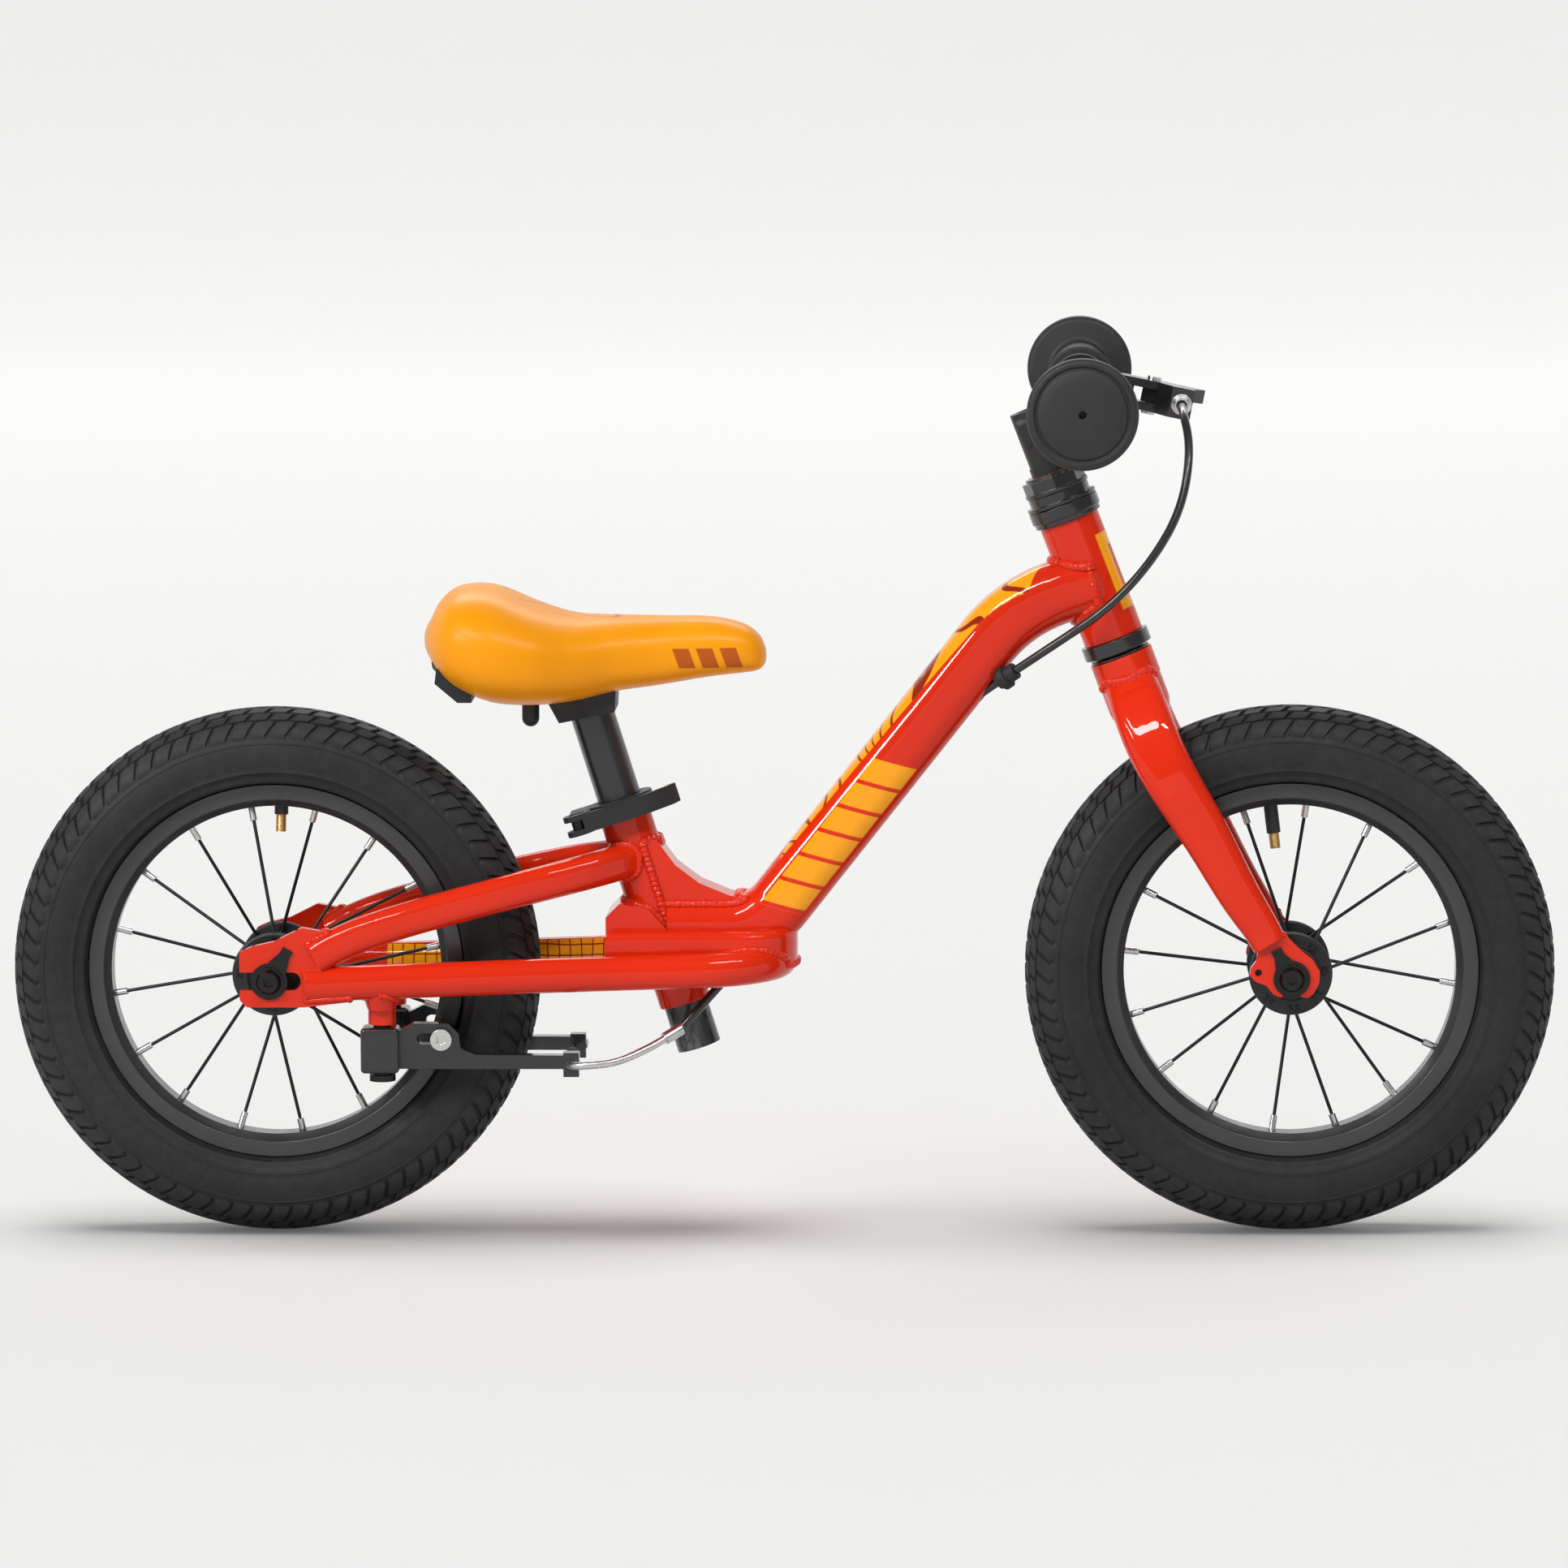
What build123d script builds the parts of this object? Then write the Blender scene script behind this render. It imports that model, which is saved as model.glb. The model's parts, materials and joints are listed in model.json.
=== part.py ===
"""Child's balance bike with spoked wheels, a rear linear-pull brake and a quick-release seat post.

Millimetres, +X forward, +Y to the rider's left, +Z up. The origin is on the ground,
halfway between the two axles, in the centre plane.
"""
from build123d import *
import os
from math import cos, hypot, pi, radians, sin, tan

# ---------------------------------------------------------------- driving dimensions
WHEEL_BASE = 584.6
WHEEL_RADIUS = 152.5

TYRE_SECTION = 25.5          # radius of the round tyre section
TYRE_WALL = 3.0
BEAD_SEAT = 101.5            # radius on which the tyre beads sit
FLANGE_RADIUS = 108.5        # outer radius of the rim
RIM_HALF_WIDTH = 12.6
RIM_INNER = 95.5             # radius of the rim's face towards the hub

SPOKE_PAIRS = 8
SPOKE_SPREAD = 11.25         # degrees between the hub hole and the rim hole
SPOKE_RADIUS = 1.0
HUB_FLANGE_RADIUS = 24.0
HUB_FLANGE_OFFSET = 25.0     # centre plane to the flange's middle
SPOKE_CIRCLE = 19.5
AXLE_RADIUS = 6.0
BEARING_RADIUS = 14.0
BEARING_WIDTH = 8.0
RUNNING_FIT = 0.04           # radial play of shafts in their holes

FRONT_HALF_WIDTH = 42.0      # centre plane to the inner face of the fork dropouts
REAR_HALF_WIDTH = 50.0       # centre plane to the inner face of the rear dropouts
DROPOUT_THICKNESS = 5.0
SLOT_WIDTH = 10.4
WASHER_THICKNESS = 1.6

HEAD_TILT = 20.8             # steering axis, degrees back from vertical
HEAD_BASE = (191.2, 344.1)   # X and Z of the lower end of the head tube
HEAD_LENGTH = 73.0
HEAD_RADIUS = 17.5
STEERER_RADIUS = 12.7
CUP_HEIGHT = 10.0
QUILL_RADIUS = 11.1

SEAT_TILT = 17.4             # seat tube axis, degrees back from vertical
SEAT_BASE = (-56.5, 133.0)   # X and Z of the lower end of the seat tube
SEAT_TUBE_LENGTH = 121.0
SEAT_TUBE_RADIUS = 15.0
POST_RADIUS = 12.7
POST_LOW = -27.0             # lower end of the post along the seat tube axis
POST_HIGH = 188.0

BAR_CENTRE = (172.5, 486.0)
BAR_RADIUS = 11.1
BAR_HALF_LENGTH = 190.0
GRIP_START = 88.0
GRIP_END = 196.0

LEVER_DROOP = 11.5           # brake lever plane, degrees below level
LEVER_PIVOT_REACH = 42.0     # bar axis to the lever pivot
LEVER_Y = 76.0               # middle of the lever clamp on the left bar
ADJUSTER_REACH = 59.5        # bar axis to the cable adjuster
ADJUSTER_Y = -20.0           # adjuster's seat on the bracket, from the middle of the clamp

BOSS_X = -229.0              # brake boss axes are vertical
BOSS_Y = 40.0
PAD_ANGLE = -19.9            # where the pad bolts stand round the rear rim, degrees
PAD_RADIUS = 103.6
PAD_GAP = 1.8                # pad face to rim at rest

CABLE_RADIUS = 2.5
NOODLE_RADIUS = 2.3

FRONT_AXLE = (WHEEL_BASE / 2, 0, WHEEL_RADIUS)
REAR_AXLE = (-WHEEL_BASE / 2, 0, WHEEL_RADIUS)
FRONT_SPOKE_START = 95.25    # angle of the first spoke pair, from +X towards +Z
REAR_SPOKE_START = 87.25
FRONT_VALVE_ANGLE = 96.7
REAR_VALVE_ANGLE = 88.0

# Centre line of the brake cable housing from the lever to the cable port, with its points placed by hand.
FRONT_CABLE = [
    (230.8, 51.0, 474.1),
    (230.8, 24.0, 474.1),
    (235.5, 2.0, 452.0),
    (230.0, -12.0, 419.0),
    (213.0, -23.0, 390.0),
    (188.0, -30.5, 363.5),
    (158.5, -28.0, 343.5),
    (128.0, -14.5, 322.0),
]
# The same housing inside the main tube and out of its lower end to the noodle.
REAR_CABLE = [
    (127.7, -14.4, 321.8),
    (103.0, -3.4, 304.4),
    (71.0, 0.0, 275.0),
    (38.0, -1.0, 234.0),
    (5.0, -6.0, 192.0),
    (-23.0, -19.5, 159.0),
    (-56.5, -31.0, 123.0),
]
# Centre line of the bent steel noodle on the right brake arm.
NOODLE = [
    (-122.5, -24.0, 102.0),
    (-121.5, -52.0, 102.5),
    (-94.0, -50.0, 104.5),
    (-74.0, -40.0, 112.5),
    (-62.0, -33.0, 119.0),
]

NODES = {}


# ---------------------------------------------------------------- helpers
def tilted_plane(base, tilt):
    """A plane on a tube axis that leans back by tilt degrees; its Z runs up the tube, its X forward."""
    a = radians(tilt)
    return Plane(origin=(base[0], 0, base[1]), x_dir=(cos(a), 0, sin(a)), z_dir=(-sin(a), 0, cos(a)))


HEAD = tilted_plane(HEAD_BASE, HEAD_TILT)
SEAT = tilted_plane(SEAT_BASE, SEAT_TILT)


def disc(radius, low, high):
    """A solid cylinder on the local Z axis from low to high."""
    return Pos(0, 0, low) * Cylinder(radius, high - low, align=(Align.CENTER, Align.CENTER, Align.MIN))


def ring(outer, inner, low, high):
    """A tube on the local Z axis from low to high."""
    return disc(outer, low, high) - disc(inner, low - 1, high + 1)


def cross_rod(radius, x, z, start, end):
    """A solid cylinder along Y."""
    return Plane(origin=(x, start, z), z_dir=(0, 1, 0)) * disc(radius, 0, end - start)


def rod(start, end, radius):
    """A solid cylinder between two points."""
    run = Vector(*end) - Vector(*start)
    return Plane(origin=start, z_dir=run) * disc(radius, 0, run.length)


def side_plate(outline, start, end):
    """An XZ outline as a plate between two Y values."""
    face = Plane(origin=(0, start, 0), x_dir=(1, 0, 0), z_dir=(0, -1, 0)) * Polygon(*outline, align=None)
    return extrude(face, amount=end - start, dir=(0, 1, 0))


def slab(outline, low, high):
    """An XY outline as a plate between two Z values."""
    return extrude(Pos(0, 0, low) * Polygon(*outline, align=None), amount=high - low, dir=(0, 0, 1))


def turned(outline):
    """A turned solid about Y from (radius, y) points."""
    return revolve(Polygon(*outline, align=None), axis=Axis.Y)


def both_sides(shape):
    """The shape and its mirror image across the centre plane."""
    return [shape, mirror(shape, about=Plane.XZ)]


def lofted(stations, reference, wall=0.0):
    """Loft rounded sections along a centre line.

    Each station is (point, size along the reference direction, size across it, corner radius).
    """
    points = [Vector(*station[0]) for station in stations]
    faces = []
    for i, (point, along, across, corner) in enumerate(stations):
        before = points[max(i - 1, 0)]
        after = points[min(i + 1, len(points) - 1)]
        tangent = (after - before).normalized()
        ref = Vector(*reference)
        x_dir = ref - tangent * ref.dot(tangent)
        plane = Plane(origin=point, x_dir=x_dir, z_dir=tangent)
        faces.append(plane * RectangleRounded(along - 2 * wall, across - 2 * wall, corner - wall))
    return loft(faces)


def cable_path(points, name):
    """Straight runs joined by tangent arcs, each as large as its two runs allow."""
    corners = [Vector(*p) for p in points]
    radii = []
    for before, here, after in zip(corners, corners[1:], corners[2:]):
        turn = (here - before).get_angle(after - here)
        run = min((here - before).length, (after - here).length)
        radii.append(0.45 * run / tan(radians(turn) / 2))
    path = FilletPolyline(*points, radius=radii)
    print(name, "length", round(path.length, 1), "radii", [round(r, 1) for r in radii])
    return path


def cable(points, radius, name):
    """A round cable swept along its path."""
    path = cable_path(points, name)
    start = Plane(origin=path @ 0, z_dir=path % 0)
    body = sweep(start * Circle(radius), path=path)
    print(name, "volume ratio", round(body.volume / (pi * radius**2 * path.length), 4))
    return body


def keep(name, *shapes):
    """Store a node as one solid or as a group of separate solids."""
    solids = []
    for shape in shapes:
        solids.extend(shape.solids())
    NODES[name] = Compound(children=solids) if len(solids) > 1 else solids[0]


# ---------------------------------------------------------------- wheels
def rim_point(angle, radius, y=0.0):
    """A point round the wheel, at an angle from +X towards +Z."""
    a = radians(angle)
    return (radius * cos(a), y, radius * sin(a))


def tyre():
    centre = WHEEL_RADIUS - TYRE_SECTION
    foot = 110.5
    inner_foot = 111.5
    inner = TYRE_SECTION - TYRE_WALL
    outer_y = (TYRE_SECTION**2 - (centre - foot) ** 2) ** 0.5
    inner_y = (inner**2 - (centre - inner_foot) ** 2) ** 0.5
    bead = BEAD_SEAT + 0.3
    bead_y = RIM_HALF_WIDTH - 2.3
    upper = [(inner_foot, inner_y), (FLANGE_RADIUS, 7.6), (bead, 7.3), (bead, bead_y)]
    upper += [(FLANGE_RADIUS, bead_y), (FLANGE_RADIUS + 0.9, 13.0), (foot, outer_y)]
    lower = [(r, -y) for r, y in upper]
    outline = Polyline(*upper) + Polyline(*lower)
    outline += ThreePointArc(upper[-1], (WHEEL_RADIUS, 0), lower[-1])
    outline += ThreePointArc(upper[0], (centre + inner, 0), lower[0])
    return revolve(make_face(outline.edges()), axis=Axis.Y)


def inner_tube(valve_angle, stem_end, tip_end):
    """The air tube with its moulded rubber valve stem, brass tip and air passage."""
    wall_middle = 109.8
    section = RectangleRounded(38, 40, 18.6) - RectangleRounded(35.6, 37.6, 17.4)
    body = revolve(Pos(128.0, 0) * section, axis=Axis.Y)
    body = Rot(0, 90, 0) * body
    body += rod(rim_point(valve_angle, wall_middle), rim_point(valve_angle, stem_end), 4.0)
    body += rod(rim_point(valve_angle, wall_middle), rim_point(valve_angle, tip_end), 3.0)
    return body - rod(rim_point(valve_angle, wall_middle + 2.2), rim_point(valve_angle, tip_end - 2), 1.2)


def rim(spoke_holes, valve_angle):
    """A single-wall channel with two braking flanges."""
    half = RIM_HALF_WIDTH
    side = [(FLANGE_RADIUS, half), (FLANGE_RADIUS, half - 2), (BEAD_SEAT, half - 2), (BEAD_SEAT, 8.5)]
    side += [(RIM_INNER + 2.1, 6.5)]
    back = [(RIM_INNER, 8.0), (99.0, 10.8), (99.8, half)]
    outline = side + [(r, -y) for r, y in reversed(side)]
    outline += [(r, -y) for r, y in reversed(back)] + back
    body = turned(outline)
    for start, end in spoke_holes:
        body -= rod(start, end, 2.25)
    return body - rod(rim_point(valve_angle, 88), rim_point(valve_angle, 103), 4.2)


def hub():
    """A turned shell with two spoke flanges and a bearing seat in each end."""
    flange_in = HUB_FLANGE_OFFSET - 1.5
    flange_out = HUB_FLANGE_OFFSET + 1.5
    end = HUB_FLANGE_OFFSET + 9.0
    seat = end - BEARING_WIDTH - 0.6
    side = [(11.0, 0), (11.0, seat), (BEARING_RADIUS, seat), (BEARING_RADIUS, end), (16.2, end)]
    side += [(17.0, end - 1.5), (17.0, flange_out), (HUB_FLANGE_RADIUS - 0.8, flange_out)]
    side += [(HUB_FLANGE_RADIUS, flange_out - 0.8), (HUB_FLANGE_RADIUS, flange_in + 0.8)]
    side += [(HUB_FLANGE_RADIUS - 0.8, flange_in), (17.0, flange_in), (15.0, flange_in - 3), (15.0, 0)]
    outline = side + [(r, -y) for r, y in reversed(side[1:-1])]
    return turned(outline)


def spoke_ends(start_angle):
    """Hub hole and rim hole of every spoke, as points, with the side each spoke is on."""
    ends = []
    for pair in range(SPOKE_PAIRS):
        angle = start_angle + pair * 360 / SPOKE_PAIRS
        for side in (-1, 1):
            hub_y = side * (HUB_FLANGE_OFFSET - 2.9)
            rim_angle = angle - side * SPOKE_SPREAD
            rim_end = rim_point(rim_angle, RIM_INNER + 5.1, side * 2.0)
            ends.append((rim_point(angle, SPOKE_CIRCLE, hub_y), rim_end, side))
    return ends


def spoke(hub_end, rim_end, side):
    """A headed spoke: a short stub through the flange, then the straight run to its nipple."""
    x, y, z = hub_end
    low, high = sorted((y + side * 4.5, y + side * 5.5))
    head = cross_rod(1.9, x, z, low, high)
    stub = cross_rod(1.15, x, z, min(y, y + side * 4.6), max(y, y + side * 4.6))
    return rod(hub_end, rim_end, SPOKE_RADIUS) + Pos(x, y, z) * Sphere(1.15) + stub + head


def nipple(hub_end, rim_end):
    """The nut that pulls a spoke tight, with its wide head outside the rim and its shank inside."""
    a = Vector(*hub_end)
    b = Vector(*rim_end)
    run = (b - a).normalized()
    shank = rod(b - run * 13.5, b - run * 1.2, 2.0)
    head = rod(b - run * 1.4, b + run * 1.0, 3.2)
    return shank + head - rod(a, b + run * 2, SPOKE_RADIUS)


def bearing_pair():
    """A sealed ball bearing in each end of the hub."""
    end = HUB_FLANGE_OFFSET + 9.0
    low = end - BEARING_WIDTH - 0.3
    bore = AXLE_RADIUS + RUNNING_FIT
    race = Rot(-90, 0, 0) * ring(BEARING_RADIUS, bore, low, low + BEARING_WIDTH)
    groove = Rot(-90, 0, 0) * ring(12.0, 8.4, low + BEARING_WIDTH - 0.5, low + BEARING_WIDTH + 1)
    return both_sides(race - groove)


def wheel(name, centre, spoke_start, valve_angle, stem_end, tip_end):
    place = Pos(*centre)
    ends = spoke_ends(spoke_start)
    holes = []
    for hub_end, rim_end, side in ends:
        a = Vector(*hub_end)
        b = Vector(*rim_end)
        run = (b - a).normalized()
        holes.append((b - run * 12, b + run * 6))
    hub_body = hub()
    for hub_end, rim_end, side in ends:
        hub_body -= cross_rod(1.3, hub_end[0], hub_end[2], min(0, side * 40), max(0, side * 40))
    keep(name + "_tyre", place * tyre())
    keep(name + "_inner_tube", place * inner_tube(valve_angle, stem_end, tip_end))
    keep(name + "_rim", place * rim(holes, valve_angle))
    keep(name + "_hub", place * hub_body)
    keep(name + "_spokes", *[place * spoke(*end) for end in ends])
    keep(name + "_nipples", *[place * nipple(end[0], end[1]) for end in ends])
    keep(name + "_bearings", *[place * shape for shape in bearing_pair()])


def axle_set(name, centre, half_width, tab):
    """Axle, lock nuts, bolts and hooked safety washers; tab is the washer hook's X and Z from the axle."""
    x, y, z = centre
    nut_low = HUB_FLANGE_OFFSET + 9.0
    outer = half_width + DROPOUT_THICKNESS
    shaft = cross_rod(AXLE_RADIUS, x, z, -half_width, half_width)
    shaft -= cross_rod(3.2, x, z, -half_width - 1, -half_width + 22)
    shaft -= cross_rod(3.2, x, z, half_width - 22, half_width + 1)
    nut = cross_rod(9.0, x, z, nut_low, half_width) - cross_rod(AXLE_RADIUS, x, z, 0, 60)
    shank = cross_rod(3.2, x, z, half_width - 18, outer + WASHER_THICKNESS + 1)
    shoulder = cross_rod(4.6, x, z, half_width, outer)
    flange_start = outer + WASHER_THICKNESS
    flange = cross_rod(8.3, x, z, flange_start, flange_start + 1.4)
    cap = Cone(7.2, 5.6, 3.6, align=(Align.CENTER, Align.CENTER, Align.MIN))
    cap = Plane(origin=(x, flange_start + 1.4, z), z_dir=(0, 1, 0)) * cap
    socket = Plane(origin=(x, flange_start + 2.6, z), z_dir=(0, 1, 0)) * extrude(RegularPolygon(3.0, 6), 4)
    bolt = shank + shoulder + flange + cap - socket
    washer = cross_rod(10.5, x, z, outer, flange_start)
    reach = hypot(*tab)
    hook = Plane(origin=(x, outer, z), x_dir=(tab[0], 0, tab[1]), z_dir=(0, 1, 0))
    tongue = [(0, -9), (reach - 4, -3.2), (reach, -3.2), (reach, 3.2), (reach - 4, 3.2), (0, 9)]
    washer += hook * slab(tongue, 0, WASHER_THICKNESS)
    washer -= cross_rod(3.6, x, z, outer - 1, outer + 5)
    keep(name + "_axle", shaft)
    keep(name + "_axle_hardware", *both_sides(nut), *both_sides(bolt), *both_sides(washer))


# ---------------------------------------------------------------- frame
def loop_plane():
    """The plane of the lower stay loop, which rises slightly towards the front."""
    low = Vector(-272, 0, 150.0)
    high = Vector(0, 0, 158.5)
    return Plane(origin=low, x_dir=high - low, z_dir=(high - low).cross(Vector(0, 1, 0)))


def stay_loop():
    """One oval tube: along the right side, round the front and back along the left."""
    plane = loop_plane()
    length = 272.0
    legs = [(0, -51), (130, -45), (length, -45), (length, 45), (130, 45), (0, 51)]
    path = plane * FilletPolyline(*legs, radius=[260, 44, 44, 260])
    start = Plane(origin=path @ 0, x_dir=(0, 0, 1), z_dir=path % 0)
    outer = sweep(start * Ellipse(10.0, 8.6), path=path)
    inner = sweep(start * Ellipse(8.2, 6.8), path=path)
    return outer - inner, outer


def main_tube_sweep(shrink=0.0):
    """The bent main tube's soft rectangular section, swept from the head tube to the seat tube."""
    path = FilletPolyline((180, 0, 375.3), (137, 0, 365.3), (-12.4, 0, 176), (-66, 0, 176), radius=[88, 40])
    start = Plane(origin=path @ 0, x_dir=(0, 1, 0), z_dir=path % 0)
    section = RectangleRounded(40 - 2 * shrink, 36.5 - 2 * shrink, 14.5 - shrink)
    return sweep(start * section, path=path)


def frame_tubes():
    head = HEAD * ring(HEAD_RADIUS, 15.2, 0, HEAD_LENGTH)
    seat_solid = SEAT * disc(SEAT_TUBE_RADIUS, 0, SEAT_TUBE_LENGTH)
    seat = SEAT * ring(SEAT_TUBE_RADIUS, POST_RADIUS + RUNNING_FIT, 0, SEAT_TUBE_LENGTH)
    loop, loop_solid = stay_loop()
    outer = main_tube_sweep()
    cable_way = cable(REAR_CABLE, CABLE_RADIUS + 1.0, "cable way")
    main = outer - main_tube_sweep(2.4) - HEAD * disc(HEAD_RADIUS, -20, HEAD_LENGTH + 20)
    main = main - seat_solid - loop_solid - cable_way - cable_port(0)

    yoke_plan = Rectangle(110, 74)
    yoke = Pos(-46, 0, 157) * extrude(yoke_plan, 21)
    yoke = fillet(yoke.edges().filter_by(Axis.Z).group_by(Axis.X)[-1], 32)
    yoke = fillet(yoke.faces().sort_by(Axis.Z)[-1].edges(), 5)
    block_outline = [(-101, 160), (-101, 185), (-93, 193), (-76, 189), (-64, 176), (-64, 160)]
    rear_block = side_plate(block_outline, -24, 24)
    rear_block = fillet(rear_block.edges().filter_by(Axis.Y).group_by(Axis.X)[0], 2)
    yoke = yoke + rear_block - loop_solid - outer - seat_solid - cable_way

    outline = [(-86, 226), (-72, 229), (-61, 214), (-47, 203.5), (-30, 196.5), (-14, 193)]
    outline += [(-22, 176), (-66, 176)]
    gusset = side_plate(outline, -14, 14)
    gusset = fillet(gusset.edges().filter_by(Axis.Y).sort_by(Axis.Z)[-1], 1.0)
    gusset = gusset - outer - seat_solid
    gusset = max(gusset.solids(), key=lambda s: s.volume)
    keep("head_tube", head)
    keep("main_tube", max(main.solids(), key=lambda s: s.volume))
    keep("frame_gusset", gusset)
    keep("seat_tube", seat)
    keep("bottom_yoke", max(yoke.solids(), key=lambda s: s.volume))
    keep("lower_stay_loop", loop)
    return seat_solid, loop_solid


def upper_stays(seat_solid, loop_solid):
    stations = [
        ((-266, -51, 166), 20, 16, 7.4),
        ((-244, -50, 177), 20, 16, 7.4),
        ((-205, -47, 189.5), 20, 16, 7.4),
        ((-160, -42, 201), 20, 16, 7.4),
        ((-124, -35, 209.5), 20, 17, 7.4),
        ((-100, -21, 214.5), 20, 18, 7.4),
        ((-88, -8, 217), 20, 18, 7.4),
    ]
    stay = lofted(stations, (0, 0, 1))
    bore = lofted(stations, (0, 0, 1), wall=1.8)
    near = stay - bore - seat_solid - loop_solid
    near = max(near.solids(), key=lambda s: s.volume)
    keep("upper_stays", *both_sides(near))
    return stay


def rear_dropouts(stay, loop_solid):
    x, y, z = REAR_AXLE
    outline = [(-17, 17), (-10, 20), (3, 23), (19, 31), (46, 26), (52, 3), (46, -12), (20, -15), (-13, -15)]
    outline += [(-17, -11)]
    points = [(x + dx, z + dz) for dx, dz in outline]
    plate = side_plate(points, REAR_HALF_WIDTH, REAR_HALF_WIDTH + DROPOUT_THICKNESS)
    plate = fillet(plate.edges().filter_by(Axis.Y), 2.5)
    slot = Pos(x - 15, REAR_HALF_WIDTH, z) * Box(56, 20, SLOT_WIDTH)
    slot += cross_rod(SLOT_WIDTH / 2, x + 13, z, REAR_HALF_WIDTH - 10, REAR_HALF_WIDTH + 10)
    plate = plate - slot - mirror(stay, about=Plane.XZ) - loop_solid
    plate = max(plate.solids(), key=lambda s: s.volume)
    keep("rear_dropouts", *both_sides(plate))


def brake_bosses(loop_solid):
    boss = Pos(BOSS_X, BOSS_Y, 126) * disc(8.0, 0, 20)
    boss += Pos(BOSS_X, BOSS_Y + 4, 135) * Cone(8.0, 11.0, 9, align=(Align.CENTER, Align.CENTER, Align.MIN))
    boss = boss - loop_solid - Pos(BOSS_X, BOSS_Y, 120) * disc(3.0, 0, 16)
    boss = max(boss.solids(), key=lambda s: s.volume)
    pivot = Pos(BOSS_X, BOSS_Y, 0) * (disc(4.96, 96.5, 126) + disc(3.0, 120, 134) + disc(7.5, 93.0, 96.5))
    pivot -= Pos(BOSS_X, BOSS_Y, 92) * extrude(RegularPolygon(2.8, 6), 3)
    keep("brake_bosses", *both_sides(boss))
    keep("brake_pivot_bolts", *both_sides(pivot))


def headset():
    top = HEAD_LENGTH
    upper_cup = HEAD * (ring(19.5, 15.9, top, top + 3) + ring(20.5, 15.9, top + 3, top + CUP_HEIGHT))
    upper_skirt = HEAD * ring(15.2, 13.6, top - 9, top + 2)
    lower_cup = HEAD * ring(20.0, 15.9, -8, 0)
    lower_skirt = HEAD * ring(15.2, 13.6, -2, 9)
    shelf_up = HEAD * ring(16.0, 13.6, top, top + 2.5)
    shelf_low = HEAD * ring(16.0, 13.6, -2.5, 0)
    keep("headset_cups", upper_cup + upper_skirt + shelf_up, lower_cup + lower_skirt + shelf_low)
    bore = STEERER_RADIUS + RUNNING_FIT
    upper_bearing = HEAD * ring(15.9, bore, top + 2.5, top + 8.5)
    keep("headset_bearings", upper_bearing, HEAD * ring(15.9, bore, -8, -2.5))
    crown_race = HEAD * (ring(17.5, STEERER_RADIUS, -11, -9.3) + ring(14.4, STEERER_RADIUS, -9.4, -8.1))
    top_race = HEAD * ring(20.5, STEERER_RADIUS, top + 10.4, top + 12.6)
    top_race += HEAD * ring(18.0, STEERER_RADIUS, top + 12.5, top + 18)
    top_race += HEAD * ring(14.4, STEERER_RADIUS, top + 8.7, top + 11)
    keep("headset_races", crown_race, top_race)
    washer = HEAD * ring(18.8, STEERER_RADIUS, top + 18, top + 20.5)
    nut = HEAD * (Pos(0, 0, top + 20.5) * extrude(RegularPolygon(18.2, 8), 6.5))
    nut += HEAD * ring(15.5, STEERER_RADIUS, top + 27, top + 29)
    nut -= HEAD * disc(STEERER_RADIUS, top, top + 40)
    keep("headset_lock_nut", washer + nut)


def seat_clamp():
    """A split collar with ears, its skewer and nut, and the cam lever that wraps round its right side."""
    low = SEAT_TUBE_LENGTH - 8.5
    high = SEAT_TUBE_LENGTH + 3.5
    collar = disc(19.2, low, high) + Pos(-22, 0, (low + high) / 2) * Box(16, 18.8, high - low)
    collar -= disc(SEAT_TUBE_RADIUS + 0.02, low - 1, SEAT_TUBE_LENGTH)
    collar -= disc(POST_RADIUS + 0.15, low, high + 1)
    collar -= Pos(-22, 0, (low + high) / 2) * Box(24, 2.0, 30)
    middle = (low + high) / 2
    bolt_line = Plane(origin=(-25, 0, middle), z_dir=(0, 1, 0))
    collar -= bolt_line * disc(2.7, -20, 20)
    keep("seat_clamp", SEAT * collar)
    skewer = bolt_line * (disc(2.5, -19, 17) + disc(5.5, 10, 15.5))
    barrel = Pos(-25, -18, 0) * disc(4.5, middle - 5.5, middle + 5.5)
    keep("seat_clamp_skewer", SEAT * (skewer + barrel))
    cam = Pos(-25, -18, 0) * disc(8.3, low, high)
    notch = Pos(-31, -18, middle) * Box(17.8, 28, 5.6)
    outline = [(-30, -25), (-12, -26.6), (4, -25.6), (18, -22.4), (30, -15.4), (34, -8.6), (31.5, -7.2)]
    outline += [(27, -12.6), (16, -18.8), (3, -21.8), (-12, -22.6), (-20, -21)]
    arm = slab(outline, low + 0.5, high - 0.5)
    lever = cam + arm - notch
    lever -= Pos(-25, -18, 0) * disc(4.5 + RUNNING_FIT, low - 1, high + 1)
    keep("seat_clamp_lever", SEAT * max(lever.solids(), key=lambda s: s.volume))


# ---------------------------------------------------------------- seat
def saddle_form(sections, share):
    """The padded form, or a smaller copy of it, from (x, width, height, middle Z) sections."""
    faces = []
    for x, width, height, middle in sections:
        plane = Plane(origin=(x, 0, middle), x_dir=(0, 1, 0), z_dir=(1, 0, 0))
        faces.append(plane * RectangleRounded(share * width, share * height, 0.46 * share * height))
    return loft(faces)


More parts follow.
